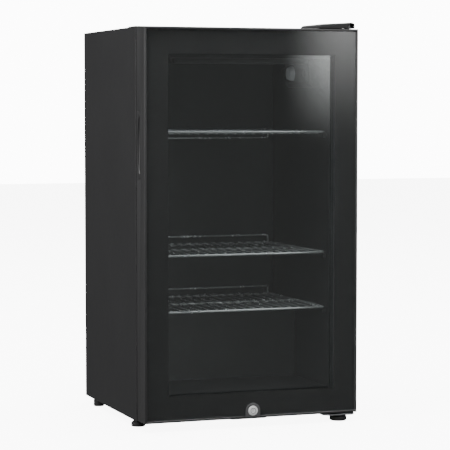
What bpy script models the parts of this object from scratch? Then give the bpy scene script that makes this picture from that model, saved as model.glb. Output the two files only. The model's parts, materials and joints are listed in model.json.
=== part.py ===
"""Undercounter refrigerator with a glazed, lockable door and three wire shelves.

The cabinet stands on the plane z = 0 with its centre over the origin, its door facing -Y and
its hinges on the +X side. Lengths are in metres.
"""

from math import cos, pi, radians, sin

import bmesh
import bpy
from mathutils import Matrix, Vector

# Overall size
WIDTH = 0.475
DEPTH = 0.450
FOOT_HEIGHT = 0.016
CABINET_TOP = 0.835
GAP = 0.0003  # left between pieces that touch
ROUND_ANGLE = 30  # degrees; sharper edges stay sharp on turned pieces
OVERRUN = 0.01  # how far a cutter reaches past the face it opens

# Cabinet
DOOR_FRONT = -DEPTH / 2 + 0.001
DOOR_THICKNESS = 0.054
CABINET_FRONT = DOOR_FRONT + 0.0605
CABINET_BACK = DEPTH / 2
HALF_WIDTH = WIDTH / 2
SHEET = 0.0008
FLANGE = 0.028  # width of the steel flange that the gasket pulls against
REAR_RETURN = 0.014
TOP_TRIM_DEPTH = 0.050
TOP_TRIM_THICKNESS = 0.0013

# Cold compartment
LINER_WALL = 0.002
CAVITY_HALF_WIDTH = 0.1995
CAVITY_BACK = 0.181
CAVITY_FLOOR = 0.066
CAVITY_CEILING = 0.772
STEP_FRONT = 0.044  # the floor steps up over the compressor bay
STEP_TOP = 0.2225
LEDGE_DEPTH = 0.008
LEDGE_HEIGHT = 0.010

# Compressor bay, open at the back
BAY_FRONT = 0.0805
BAY_ROOF = 0.1863
COMPRESSOR = Vector((0.02, 0.152, 0.0))
COMPRESSOR_RADIUS = 0.054
DRAIN = Vector((0.02, 0.165, 0.0))

# Shelves
SHELF_LEVELS = {"shelf_top": 0.617, "shelf_middle": 0.357, "shelf_bottom": 0.238}
SHELF_HALF_WIDTH = 0.1972
SHELF_FRONT = DOOR_FRONT + 0.0825
SHELF_BACK = 0.1760
SHELF_ROD = 0.005
SHELF_WIRE = 0.003
SHELF_PITCH = 0.0208
SHELF_STOP_HEIGHT = 0.020

# Door
DOOR_BOTTOM = 0.0186
DOOR_TOP = 0.834
DOOR_BORDER = 0.045
GLASS_INSET = 0.0055
GLASS_FRONT = 0.0015  # how far the outer pane lies behind the frame's lip
GLASS_THICKNESS = 0.004
PANE_GAP = 0.012
UNIT_INSET = 0.0325  # edge of the inner pane, from the door's edge
GASKET_INSET = 0.012
GASKET_WIDTH = 0.0135
HINGE_X = HALF_WIDTH - 0.016
HINGE_Y = DOOR_FRONT + 0.020
PIN_RADIUS = 0.003
PIN_CHAMFER = 0.0006
BUSH_RADIUS = 0.0055
GLASS_BACK = GLASS_FRONT + GLASS_THICKNESS
INNER_PANE_FRONT = GLASS_BACK + GAP + PANE_GAP + GAP
INNER_PANE_BACK = INNER_PANE_FRONT + GLASS_THICKNESS
SPACER_INSETS = (0.0405, 0.0500)
GROOVE_INSET = 0.0170  # groove that holds the gasket's barb
GROOVE_WIDTH = 0.0035
GROOVE_DEPTH = 0.0065
GASKET_FACE = 0.0061  # how far the gasket's face stands off the door
GASKET_CHAMFER = 0.0010
BARB_CLEARANCE = 0.0004

# Finger grip in the edge of the door
GRIP_CENTRE_Z = 0.592
GRIP_PIECE_LENGTH = 0.141
GRIP_SCOOP_LENGTH = 0.119
GRIP_SCOOP_WIDTH = 0.0176
GRIP_SCOOP_DEPTH = 0.0105
GRIP_SLOT = 0.0012  # visible slot in front of the grip piece
GRIP_PIECE_DEPTH = 0.0125
GRIP_FRONT = DOOR_FRONT + 0.0276
GRIP_BACK = GRIP_FRONT + 0.0224
GRIP_SCOOP_START = DOOR_FRONT + 0.031

# Lock
LOCK_Z = 0.0345
LOCK_RADIUS = 0.0105
LOCK_PLATE_RADIUS = 0.0165
BOLT_Y = DOOR_FRONT + 0.033
BOLT_HALF_WIDTH = 0.007
BOLT_HALF_THICKNESS = 0.002
BOLT_TOP = 0.0400
BOLT_CLEARANCE = 0.0012
LOCK_CLEARANCE = 0.0005
BARREL_LENGTH = 0.0270
STRIKE_THICKNESS = 0.0022
STRIKE_HALF_WIDTH = 0.045
STRIKE_CORNER = 0.010

# Feet
FOOT_LEFT_XY = (-HALF_WIDTH + 0.0150, DOOR_FRONT + 0.095)
FOOT_RIGHT_XY = (HALF_WIDTH - 0.034, DOOR_FRONT + 0.024)
FOOT_REAR_Y = DOOR_FRONT + 0.382
REAR_FOOT_RADIUS = 0.012
STUD_RADIUS = 0.0040
STUD_HOLE_RADIUS = 0.0045

# Hinge hardware
BRACKET_TOP = FOOT_HEIGHT - GAP
BRACKET_THICKNESS = 0.003
TOP_BRACKET_THICKNESS = 0.0025
WASHER_RADIUS = 0.0075
BOTTOM_PIN_TOP = 0.0300
TOP_PIN_LOW = 0.8170
PIN_HEAD_RADIUS = 0.0048
COVER_WALL = 0.0018
COVER_TOP_LEFT = 0.8437  # the cover's top rises towards the hinge side
COVER_TOP_RIGHT = 0.8478

# Refrigeration pieces
COIL_RADIUS = 0.0024
SUCTION_RADIUS = 0.0032
DRAIN_BORE_RADIUS = 0.0055
DRAIN_TUBE_RADIUS = 0.0050
DRAIN_TUBE_BORE = 0.0035
DRAIN_SLOT_WIDTH = 0.0013
DRAIN_SLOT_LENGTH = 0.0042
DRAIN_SLOT_PITCH = 0.0021
EVAPORATOR_HALF_WIDTH = 0.170
EVAPORATOR_LOW = 0.292
EVAPORATOR_HIGH = 0.743
EVAPORATOR_CHANNELS = 8
MOUNT_HEIGHT = 0.013
MOUNT_SPREAD = (0.058, 0.036)
SHELL_HEIGHT = 0.112
RELAY_WIDTH = 0.030
TRAY_HALF_X = 0.062
TRAY_HALF_Y = 0.046
TRAY_HEIGHT = 0.022
TRAY_WALL = 0.0018

# Thermostat and light
CONTROL_LOW = 0.7120
CONTROL_DEPTH = 0.024
CONTROL_Y = (DOOR_FRONT + 0.126, DOOR_FRONT + 0.266)
CONTROL_AXIS_Z = 0.743
DIAL_RADIUS = 0.0160
ROCKER_TILT = 7  # degrees
LIGHT_HALF_LENGTH = 0.150
LIGHT_LOW = 0.7605
LIGHT_Y = (DOOR_FRONT + 0.072, DOOR_FRONT + 0.098)

BLACK_PAINT = ("black_paint", (0.030, 0.030, 0.032), 0.55, 0.3)
BLACK_PLASTIC = ("black_plastic", (0.035, 0.035, 0.037), 0.45, 0.0)
LINER_BLACK = ("liner_plastic", (0.012, 0.012, 0.013), 0.35, 0.0)
GLASS = ("glass", (0.75, 0.80, 0.80), 0.03, 0.0)
SPACER_METAL = ("spacer_metal", (0.25, 0.25, 0.26), 0.35, 1.0)
GASKET_RUBBER = ("gasket_rubber", (0.02, 0.02, 0.02), 0.7, 0.0)
CHROME = ("chrome_wire", (0.80, 0.80, 0.82), 0.15, 1.0)
LOCK_METAL = ("lock_metal", (0.82, 0.82, 0.84), 0.18, 1.0)
ZINC = ("zinc_steel", (0.55, 0.56, 0.57), 0.40, 1.0)
RUBBER = ("foot_rubber", (0.03, 0.03, 0.03), 0.75, 0.0)
FOAM = ("foam", (0.75, 0.66, 0.42), 0.9, 0.0)
COPPER = ("copper_pipe", (0.72, 0.38, 0.22), 0.3, 1.0)
ALUMINIUM = ("aluminium", (0.75, 0.76, 0.77), 0.4, 1.0)
ENAMEL = ("compressor_enamel", (0.02, 0.02, 0.022), 0.3, 0.0)
WHITE_PLASTIC = ("white_plastic", (0.78, 0.78, 0.76), 0.5, 0.0)
LENS = ("light_lens", (0.85, 0.88, 0.92), 0.35, 0.0)


# ---------------------------------------------------------------- helpers

def finish_material(finish):
    """The material of a finish, made on first use."""
    name, colour, roughness, metallic = finish
    material = bpy.data.materials.get(name)
    if material is None:
        material = bpy.data.materials.new(name)
        material.use_nodes = True
        shader = material.node_tree.nodes["Principled BSDF"]
        shader.inputs["Base Color"].default_value = (*colour, 1.0)
        shader.inputs["Roughness"].default_value = roughness
        shader.inputs["Metallic"].default_value = metallic
    return material


def add_object(name, shape, finish, parent=None, origin=(0, 0, 0), smooth=None):
    """Turn a bmesh into a named object whose origin is moved to a point, under a parent empty."""
    bmesh.ops.recalc_face_normals(shape, faces=shape.faces)
    mesh = bpy.data.meshes.new(name)
    shape.to_mesh(mesh)
    shape.free()
    mesh.transform(Matrix.Translation(-Vector(origin)))
    if smooth is not None:
        mesh.shade_smooth()
        mesh.set_sharp_from_angle(angle=radians(smooth))
    piece = bpy.data.objects.new(name, mesh)
    piece.location = Vector(origin)
    if parent is not None:
        piece.parent = parent
        piece.location -= parent.location
    bpy.context.scene.collection.objects.link(piece)
    if finish is not None:
        mesh.materials.append(finish_material(finish))
    return piece


def add_empty(name, location):
    """An empty that marks a joint's axis."""
    empty = bpy.data.objects.new(name, None)
    empty.location = location
    empty.empty_display_size = 0.03
    bpy.context.scene.collection.objects.link(empty)
    return empty


def box_shape(low, high):
    """A box between two corners."""
    low, high = Vector(low), Vector(high)
    shape = bmesh.new()
    bmesh.ops.create_cube(shape, size=1.0)
    bmesh.ops.scale(shape, vec=high - low, verts=shape.verts)
    bmesh.ops.translate(shape, vec=(low + high) / 2, verts=shape.verts)
    return shape


def point_in_plane(axis, u, v, along):
    """A point from two coordinates in the plane across an axis and one along it."""
    if axis == "x":
        return Vector((along, u, v))
    if axis == "y":
        return Vector((u, along, v))
    return Vector((u, v, along))


def prism_shape(outline, axis, start, end):
    """An outline extruded along an axis."""
    shape = bmesh.new()
    corners = [shape.verts.new(point_in_plane(axis, u, v, start)) for u, v in outline]
    face = shape.faces.new(corners)
    grown = bmesh.ops.extrude_face_region(shape, geom=[face])["geom"]
    moved = [item for item in grown if isinstance(item, bmesh.types.BMVert)]
    shift = point_in_plane(axis, 0, 0, end - start)
    bmesh.ops.translate(shape, vec=shift, verts=moved)
    return shape


def turned_shape(profile, centre, axis, steps):
    """A profile of (radius, distance along the axis) points turned about an axis."""
    shape = bmesh.new()
    centre = Vector(centre)
    ring = []
    for radius, along in profile:
        offset = point_in_plane(axis, 0, 0, along)
        outward = Vector((0, radius, 0)) if axis == "x" else Vector((radius, 0, 0))
        ring.append(shape.verts.new(centre + offset + outward))
    edges = [shape.edges.new(pair) for pair in zip(ring, ring[1:])]
    if profile[0][0] > 0:
        edges.append(shape.edges.new((ring[-1], ring[0])))
    bmesh.ops.spin(
        shape, geom=ring + edges, cent=centre, axis=point_in_plane(axis, 0, 0, 1), dvec=(0, 0, 0),
        angle=2 * pi, steps=steps, use_merge=True, use_duplicate=False,
    )
    bmesh.ops.remove_doubles(shape, verts=shape.verts, dist=1e-6)
    return shape


def disc_profile(radius, bottom, top, chamfer=0.0):
    """Profile of a round solid with chamfered rims."""
    if chamfer == 0.0:
        return [(0, bottom), (radius, bottom), (radius, top), (0, top)]
    return [
        (0, bottom), (radius - chamfer, bottom), (radius, bottom + chamfer),
        (radius, top - chamfer), (radius - chamfer, top), (0, top),
    ]


def tube_profile(inner, outer, bottom, top):
    """Profile of a round tube."""
    return [(inner, bottom), (outer, bottom), (outer, top), (inner, top)]


def arc_points(centre, radius, start, end, steps):
    """Points along an arc, with its angles in degrees."""
    angles = [radians(start + (end - start) * k / steps) for k in range(steps + 1)]
    return [(centre[0] + radius * cos(a), centre[1] + radius * sin(a)) for a in angles]


def add_cutter(target, name, shape, operation="DIFFERENCE"):
    """A hidden helper solid that a piece is cut with, or joined with."""
    helper = add_object(name, shape, None, parent=target.parent)
    helper.hide_render = True
    helper.display_type = "WIRE"
    modifier = target.modifiers.new(name, "BOOLEAN")
    modifier.operation = operation
    modifier.solver = "EXACT"
    modifier.object = helper
    return helper


def add_pipe(name, points, radius, finish, parent=None, sides=8):
    """A round pipe along points, with its ends capped."""
    curve = bpy.data.curves.new(name, "CURVE")
    curve.dimensions = "3D"
    curve.bevel_depth = radius
    curve.bevel_resolution = sides // 4
    curve.use_fill_caps = True
    spline = curve.splines.new("POLY")
    spline.points.add(len(points) - 1)
    for knot, point in zip(spline.points, points):
        knot.co = (*point, 1.0)
    pipe = bpy.data.objects.new(name, curve)
    pipe.parent = parent
    bpy.context.scene.collection.objects.link(pipe)
    curve.materials.append(finish_material(finish))
    return pipe


def rounded_route(corners, bend, steps=3):
    """A route through corner points with each corner turned into a bend of equal tangents."""
    corners = [Vector(c) for c in corners]
    route = [corners[0]]
    for before, corner, after in zip(corners, corners[1:], corners[2:]):
        enter = corner + (before - corner).normalized() * bend
        leave = corner + (after - corner).normalized() * bend
        for k in range(steps + 1):
            t = k / steps
            route.append(enter * (1 - t) ** 2 + corner * 2 * t * (1 - t) + leave * t ** 2)
    route.append(corners[-1])
    return route


def serpentine(axis, u_low, u_high, v_low, v_high, along, passes):
    """Corner points of a flat serpentine whose passes run along u, stepping along v."""
    points = []
    for k in range(passes):
        v = v_low + (v_high - v_low) * k / (passes - 1)
        ends = (u_low, u_high) if k % 2 == 0 else (u_high, u_low)
        points += [point_in_plane(axis, u, v, along) for u in ends]
    return points


def frame_corners(inset, depth):
    """The four points at an inset from the door's edges and a depth behind its front."""
    left, right = -HALF_WIDTH + inset, HALF_WIDTH - inset
    low, high = DOOR_BOTTOM + inset, DOOR_TOP - inset
    y = DOOR_FRONT + depth
    spots = [(left, low), (right, low), (right, high), (left, high)]
    return [Vector((x, y, z)) for x, z in spots]


def ring_shape(section):
    """A closed frame of one section, given as (inset, depth) points, mitred at its corners."""
    shape = bmesh.new()
    rings = [[], [], [], []]
    for inset, depth in section:
        for ring, corner in zip(rings, frame_corners(inset, depth)):
            ring.append(shape.verts.new(corner))
    loops = [
        [shape.edges.new(pair) for pair in zip(ring, ring[1:] + ring[:1])] for ring in rings
    ]
    for k in range(4):
        bmesh.ops.bridge_loops(shape, edges=loops[k] + loops[(k + 1) % 4])
    return shape


def mitred_bar_shape(side, section):
    """One side of a mitred frame: 0 bottom, 1 right, 2 top, 3 left."""
    shape = bmesh.new()
    starts, ends = [], []
    for inset, depth in section:
        corners = frame_corners(inset, depth)
        first, last = corners[side], corners[(side + 1) % 4]
        step = (last - first).normalized() * GAP / 2
        starts.append(shape.verts.new(first + step))
        ends.append(last - step)
    face = shape.faces.new(starts)
    grown = bmesh.ops.extrude_face_region(shape, geom=[face])["geom"]
    moved = [item for item in grown if isinstance(item, bmesh.types.BMVert)]
    for vert in moved:
        nearest = min(range(len(starts)), key=lambda k: (starts[k].co - vert.co).length)
        vert.co = ends[nearest]
    return shape


# ---------------------------------------------------------------- cabinet shell

def side_panel(name, side):
    """Sheet-steel side with a front flange and a rear return; side is -1 left or 1 right."""
    front, back = CABINET_FRONT, CABINET_BACK - 0.0011
    corner = 0.0025
    outer_arc = arc_points((corner, front + corner), corner, 180, 270, 4)
    inner_arc = arc_points((corner, front + corner), corner - SHEET, 270, 180, 4)
    outline = [
        *outer_arc, (FLANGE, front), (FLANGE, front + SHEET), *inner_arc, (SHEET, back - SHEET),
        (REAR_RETURN, back - SHEET), (REAR_RETURN, back), (0, back),
    ]
    outline = [(side * (HALF_WIDTH - u), v) for u, v in outline]
    panel = add_object(name, prism_shape(outline, "z", FOOT_HEIGHT, CABINET_TOP), BLACK_PAINT)
    inner, outer = side * (HALF_WIDTH - SHEET - GAP), side * (HALF_WIDTH - FLANGE - 0.01)
    low_x, high_x = min(inner, outer), max(inner, outer)
    notches = {"top": (CABINET_TOP - FLANGE - GAP, CABINET_TOP + 0.01),
               "bottom": (FOOT_HEIGHT - 0.01, FOOT_HEIGHT + FLANGE + GAP)}
    for end, (low_z, high_z) in notches.items():
        notch = box_shape((low_x, front - 0.01, low_z), (high_x, front + 0.004, high_z))
        add_cutter(panel, f"{name}_{end}_notch", notch)
    return panel


def top_panel():
    """Flat steel top with its front flange and a shallow seat under the front trim."""
    front, back, top = CABINET_FRONT, CABINET_BACK - 0.0011 - SHEET - GAP, CABINET_TOP
    seat_back = front + TOP_TRIM_DEPTH + GAP
    outline = [
        (front, top - FLANGE), (front + SHEET, top - FLANGE), (front + SHEET, top - SHEET),
        (back, top - SHEET), (back, top), (seat_back, top), (seat_back, top - GAP), (front, top - GAP),
    ]
    half = HALF_WIDTH - SHEET - GAP
    add_object("top_panel", prism_shape(outline, "x", -half, half), BLACK_PAINT)


def bottom_panel():
    """Steel floor with its front flange, ending at the compressor bay."""
    front, low = CABINET_FRONT, FOOT_HEIGHT
    outline = [
        (front, low), (BAY_FRONT, low), (BAY_FRONT, low + SHEET), (front + SHEET, low + SHEET),
        (front + SHEET, low + FLANGE), (front, low + FLANGE),
    ]
    half = HALF_WIDTH - SHEET - GAP
    panel = add_object("bottom_panel", prism_shape(outline, "x", -half, half), BLACK_PAINT)
    hole = turned_shape(disc_profile(STUD_HOLE_RADIUS, -0.004, 0.004), (*FOOT_LEFT_XY, low), "z", 16)
    add_cutter(panel, "bottom_panel_foot_hole", hole)


def bay_panel():
    """Folded steel sheet in front of and over the compressor bay, with the drain's hole."""
    front, back = BAY_FRONT + GAP, CABINET_BACK - 0.0022
    low, roof = FOOT_HEIGHT, BAY_ROOF - GAP
    outline = [
        (front, low), (front + SHEET, low), (front + SHEET, roof - SHEET),
        (back, roof - SHEET), (back, roof), (front, roof),
    ]
    half = HALF_WIDTH - SHEET - GAP
    panel = add_object("compressor_bay_panel", prism_shape(outline, "x", -half, half), ZINC)
    hole = turned_shape(disc_profile(DRAIN_BORE_RADIUS, -OVERRUN, OVERRUN), (*DRAIN.xy, roof), "z", 16)
    add_cutter(panel, "bay_panel_drain_hole", hole)


def back_panel():
    """Flat steel back over the foam, above the compressor bay."""
    low = (-HALF_WIDTH, CABINET_BACK - SHEET, BAY_ROOF - 0.006)
    high = (HALF_WIDTH, CABINET_BACK, CABINET_TOP)
    add_object("back_panel", box_shape(low, high), ZINC)


def top_front_trim():
    """Thin plastic strip along the front edge of the top."""
    low = CABINET_TOP + GAP
    high = low + TOP_TRIM_THICKNESS
    front, back = CABINET_FRONT, CABINET_FRONT + TOP_TRIM_DEPTH
    outline = [
        (front, low), (back, low), (back, high - 0.0006), (back - 0.0006, high),
        (front + 0.0006, high), (front, high - 0.0006),
    ]
    add_object("top_front_trim", prism_shape(outline, "x", -HALF_WIDTH, HALF_WIDTH), BLACK_PLASTIC)


# ---------------------------------------------------------------- cold compartment

def cavity_outline(growth):
    """Side view of the cold compartment, with its step, grown by a wall thickness."""
    return [
        (CABINET_FRONT - OVERRUN, CAVITY_FLOOR - growth), (STEP_FRONT + growth, CAVITY_FLOOR - growth),
        (STEP_FRONT + growth, STEP_TOP - growth), (CAVITY_BACK + growth, STEP_TOP - growth),
        (CAVITY_BACK + growth, CAVITY_CEILING + growth),
        (CABINET_FRONT - OVERRUN, CAVITY_CEILING + growth),
    ]


def inner_liner():
    """Formed plastic liner: flange, five walls, step over the bay, shelf ledges and drain slots."""
    wall = CAVITY_HALF_WIDTH + LINER_WALL
    outline = cavity_outline(LINER_WALL)
    outline[0] = (CABINET_FRONT, outline[0][1])
    outline[-1] = (CABINET_FRONT, outline[-1][1])
    liner = add_object("inner_liner", prism_shape(outline, "x", -wall, wall), LINER_BLACK)
    flange_half = HALF_WIDTH - FLANGE - GAP
    flange = box_shape(
        (-flange_half, CABINET_FRONT, FOOT_HEIGHT + FLANGE + GAP),
        (flange_half, CABINET_FRONT + LINER_WALL, CABINET_TOP - FLANGE - GAP),
    )
    add_cutter(liner, "liner_flange", flange, "UNION")
    hollow = prism_shape(cavity_outline(0.0), "x", -CAVITY_HALF_WIDTH, CAVITY_HALF_WIDTH)
    add_cutter(liner, "liner_hollow", hollow)
    for level_name, level in SHELF_LEVELS.items():
        for side, word in ((-1, "left"), (1, "right")):
            inner = side * (CAVITY_HALF_WIDTH - LEDGE_DEPTH)
            outer = side * (CAVITY_HALF_WIDTH + LINER_WALL / 2)
            top = level - SHELF_ROD / 2 - GAP
            ledge = box_shape(
                (min(inner, outer), SHELF_FRONT + 0.004, top - LEDGE_HEIGHT),
                (max(inner, outer), CAVITY_BACK - 0.020, top),
            )
            add_cutter(liner, f"{level_name}_ledge_{word}", ledge, "UNION")
    for k, word in ((-1, "left"), (0, "middle"), (1, "right")):
        slot_x = DRAIN.x + k * DRAIN_SLOT_PITCH
        slot = box_shape(
            (slot_x - DRAIN_SLOT_WIDTH / 2, DRAIN.y - DRAIN_SLOT_LENGTH / 2, STEP_TOP - OVERRUN),
            (slot_x + DRAIN_SLOT_WIDTH / 2, DRAIN.y + DRAIN_SLOT_LENGTH / 2, STEP_TOP + OVERRUN),
        )
        add_cutter(liner, f"liner_drain_slot_{word}", slot)


def foam_insulation():
    """Foam between the shell and the liner, with pockets for the coils and the drain."""
    front, back = CABINET_FRONT + LINER_WALL + GAP, CABINET_BACK - 0.0022
    half = HALF_WIDTH - SHEET - 2 * GAP
    low, high = FOOT_HEIGHT + SHEET + GAP, CABINET_TOP - SHEET - GAP
    outline = [
        (front, low), (BAY_FRONT, low), (BAY_FRONT, BAY_ROOF), (back, BAY_ROOF), (back, high),
        (front, high),
    ]
    foam = add_object("foam_insulation", prism_shape(outline, "x", -half, half), FOAM)
    room = LINER_WALL + GAP
    hollow = prism_shape(cavity_outline(room), "x", -CAVITY_HALF_WIDTH - room, CAVITY_HALF_WIDTH + room)
    add_cutter(foam, "foam_hollow", hollow)
    for side, word in ((-1, "left"), (1, "right")):
        inner, outer = side * (half - 0.0058), side * (half + 0.01)
        pocket = box_shape((min(inner, outer), -0.140, 0.230), (max(inner, outer), 0.205, 0.815))
        add_cutter(foam, f"foam_condenser_pocket_{word}", pocket)
    pocket = box_shape((-0.172, CAVITY_BACK, 0.290), (0.172, CAVITY_BACK + 0.012, 0.745))
    add_cutter(foam, "foam_evaporator_pocket", pocket)
    drain = turned_shape(disc_profile(DRAIN_BORE_RADIUS, -0.05, 0.05), (*DRAIN.xy, BAY_ROOF), "z", 16)
    add_cutter(foam, "foam_drain_bore", drain)
    stud = turned_shape(disc_profile(STUD_HOLE_RADIUS, -0.02, 0.016), (*FOOT_LEFT_XY, low), "z", 16)
    add_cutter(foam, "foam_foot_bore", stud)


def refrigerant_coils():
    """Condenser pipes behind both side panels and the evaporator behind the liner's back."""
    for side, word in ((-1, "left"), (1, "right")):
        x = side * (HALF_WIDTH - SHEET - GAP - COIL_RADIUS - 0.0002)
        corners = serpentine("x", -0.130, 0.195, 0.250, 0.800, x, 9)
        route = rounded_route(corners, 0.020, 2)
        add_pipe(f"condenser_coil_{word}", route, COIL_RADIUS, COPPER)
    evaporator()


def evaporator():
    """Roll-bond evaporator plate behind the liner's back wall, with raised channels."""
    half_width, low, high = EVAPORATOR_HALF_WIDTH, EVAPORATOR_LOW, EVAPORATOR_HIGH
    sheet, bulge, channels = 0.0015, 0.0035, EVAPORATOR_CHANNELS
    front = CAVITY_BACK + LINER_WALL + GAP
    back = front + sheet
    pitch = (high - low) / channels
    outline = [(front, high), (front, low), (back, low)]
    for k in range(channels):
        middle = low + pitch * (k + 0.5)
        outline += [(back, middle - 0.005), (back + bulge, middle - 0.003),
                    (back + bulge, middle + 0.003), (back, middle + 0.005)]
    outline.append((back, high))
    add_object("evaporator", prism_shape(outline, "x", -half_width, half_width), ALUMINIUM)


def shelf(name, level, stop_up):
    """Wire shelf: side, front, middle and back rods, cross wires, and a stop rail at the back."""
    shape = bmesh.new()
    wires = int(2 * SHELF_HALF_WIDTH / SHELF_PITCH)
    first = -SHELF_PITCH * (wires - 1) / 2
    columns = [(-SHELF_HALF_WIDTH, -SHELF_HALF_WIDTH + SHELF_ROD)]
    centres = [first + SHELF_PITCH * k for k in range(wires)]
    columns += [(x - SHELF_WIRE / 2, x + SHELF_WIRE / 2) for x in centres]
    columns += [(SHELF_HALF_WIDTH - SHELF_ROD, SHELF_HALF_WIDTH)]
    middle = (SHELF_FRONT + SHELF_BACK) / 2
    rows = [(SHELF_FRONT, SHELF_FRONT + SHELF_ROD), (middle - SHELF_ROD / 2, middle + SHELF_ROD / 2),
            (SHELF_BACK - SHELF_ROD, SHELF_BACK)]
    bottom = level - SHELF_ROD / 2
    bmesh.ops.create_grid(
        shape, x_segments=2 * len(columns) - 1, y_segments=2 * len(rows) - 1, size=1.0,
    )
    lines_x = sorted({round(v.co.x, 5) for v in shape.verts})
    lines_y = sorted({round(v.co.y, 5) for v in shape.verts})
    edges_x = [edge for column in columns for edge in column]
    edges_y = [edge for row in rows for edge in row]
    for vert in shape.verts:
        column = lines_x.index(round(vert.co.x, 5))
        row = lines_y.index(round(vert.co.y, 5))
        vert.co = (edges_x[column], edges_y[row], bottom)

    def is_gap(face):
        centre = face.calc_center_median()
        in_column = any(low < centre.x < high for low, high in columns)
        in_row = any(low < centre.y < high for low, high in rows)
        return not in_column and not in_row

    gaps = [face for face in shape.faces if is_gap(face)]
    bmesh.ops.delete(shape, geom=gaps, context="FACES")
    grown = bmesh.ops.extrude_face_region(shape, geom=shape.faces[:])["geom"]
    moved = [item for item in grown if isinstance(item, bmesh.types.BMVert)]
    bmesh.ops.translate(shape, vec=(0, 0, SHELF_ROD), verts=moved)
    origin = (0, (SHELF_FRONT + SHELF_BACK) / 2, level)
    piece = add_object(name, shape, CHROME, origin=origin)
    sign = 1 if stop_up else -1
    base = level + sign * 0.001
    tip = level + sign * SHELF_STOP_HEIGHT
    half = SHELF_HALF_WIDTH - 0.012
    rail_width = 0.004
    inner_half, inner_tip = half - rail_width, tip - sign * rail_width
    outline = [
        (-half, base), (-half, tip), (half, tip), (half, base), (inner_half, base),
        (inner_half, inner_tip), (-inner_half, inner_tip), (-inner_half, base),
    ]
    rail = prism_shape(outline, "y", SHELF_BACK - 0.0045, SHELF_BACK - 0.0005)
    add_cutter(piece, f"{name}_stop_rail", rail, "UNION")
    return piece


def thermostat():
    """Control housing high on the right wall, with its dial and a rocker switch for the light."""
    wall = CAVITY_HALF_WIDTH - GAP
    front, back = CONTROL_Y
    low, high = CONTROL_LOW, CAVITY_CEILING - GAP
    depth, chamfer = CONTROL_DEPTH, 0.008
    outline = [
        (wall, low), (wall, high), (wall - depth, high), (wall - depth, low + chamfer),
        (wall - depth + chamfer, low),
    ]
    housing = add_object("thermostat_housing", prism_shape(outline, "y", front, back), BLACK_PLASTIC)
    face = wall - depth
    dial_centre = (face, back - 0.042, CONTROL_AXIS_Z)
    seat = turned_shape(disc_profile(DIAL_RADIUS + 0.0005, -OVERRUN, 0.003), dial_centre, "x", 24)
    add_cutter(housing, "thermostat_dial_seat", seat)
    rocker_y, rocker_z = front + 0.032, CONTROL_AXIS_Z
    well = box_shape(
        (face - OVERRUN, rocker_y - 0.0105, rocker_z - 0.0075),
        (face + 0.008, rocker_y + 0.0105, rocker_z + 0.0075),
    )
    add_cutter(housing, "thermostat_rocker_well", well)

    dial = turned_shape(
        [(0, 0.0027), (DIAL_RADIUS, 0.0027), (DIAL_RADIUS, -0.0020), (0.0135, -0.0105), (0, -0.0105)],
        dial_centre, "x", 24,
    )
    knob = add_object("thermostat_knob", dial, WHITE_PLASTIC, origin=dial_centre, smooth=ROUND_ANGLE)
    pointer = box_shape(
        (face - 0.0125, dial_centre[1] - 0.0015, dial_centre[2] + 0.001),
        (face - 0.0070, dial_centre[1] + 0.0015, dial_centre[2] + 0.0120),
    )
    add_cutter(knob, "thermostat_knob_pointer", pointer, "UNION")

    pivot = (face + 0.002, rocker_y, rocker_z)
    half = 0.0088
    rise = half * sin(radians(ROCKER_TILT))
    corners = [
        (-half, -0.0020 - rise), (0, -0.0032), (half, -0.0020 + rise), (half, 0.0022),
        (-half, 0.0022),
    ]
    outline = [(pivot[0] + depth_in, pivot[1] + along) for along, depth_in in corners]
    rocker = prism_shape(outline, "z", rocker_z - 0.0062, rocker_z + 0.0062)
    add_object("light_switch", rocker, BLACK_PLASTIC, origin=pivot)


def cabinet_light():
    """Strip light under the ceiling, just behind the door opening."""
    front, back = LIGHT_Y
    high, low = CAVITY_CEILING - GAP, LIGHT_LOW
    half = LIGHT_HALF_LENGTH
    outline = [
        (front, high), (front, low + 0.002), (front + 0.002, low), (back - 0.009, low),
        (back, low + 0.0085), (back, high),
    ]
    housing = add_object("light_housing", prism_shape(outline, "x", -half, half), BLACK_PLASTIC)
    recess_outline = [
        (front + 0.008, low - 0.002), (back - 0.009, low - 0.002), (back + 0.003, low + 0.010),
        (back - 0.004, low + 0.010), (front + 0.008, low + 0.004),
    ]
    recess = prism_shape(recess_outline, "x", -half + 0.006, half - 0.006)
    add_cutter(housing, "light_housing_recess", recess)
    lens_outline = [
        (front + 0.0085, low + 0.0005), (back - 0.0095, low + 0.0005), (back - 0.0012, low + 0.0082),
        (back - 0.0040, low + 0.0096), (front + 0.0085, low + 0.0036),
    ]
    lens = prism_shape(lens_outline, "x", -half + 0.0065, half - 0.0065)
    add_object("light_lens", lens, LENS)


# ---------------------------------------------------------------- compressor bay

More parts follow.
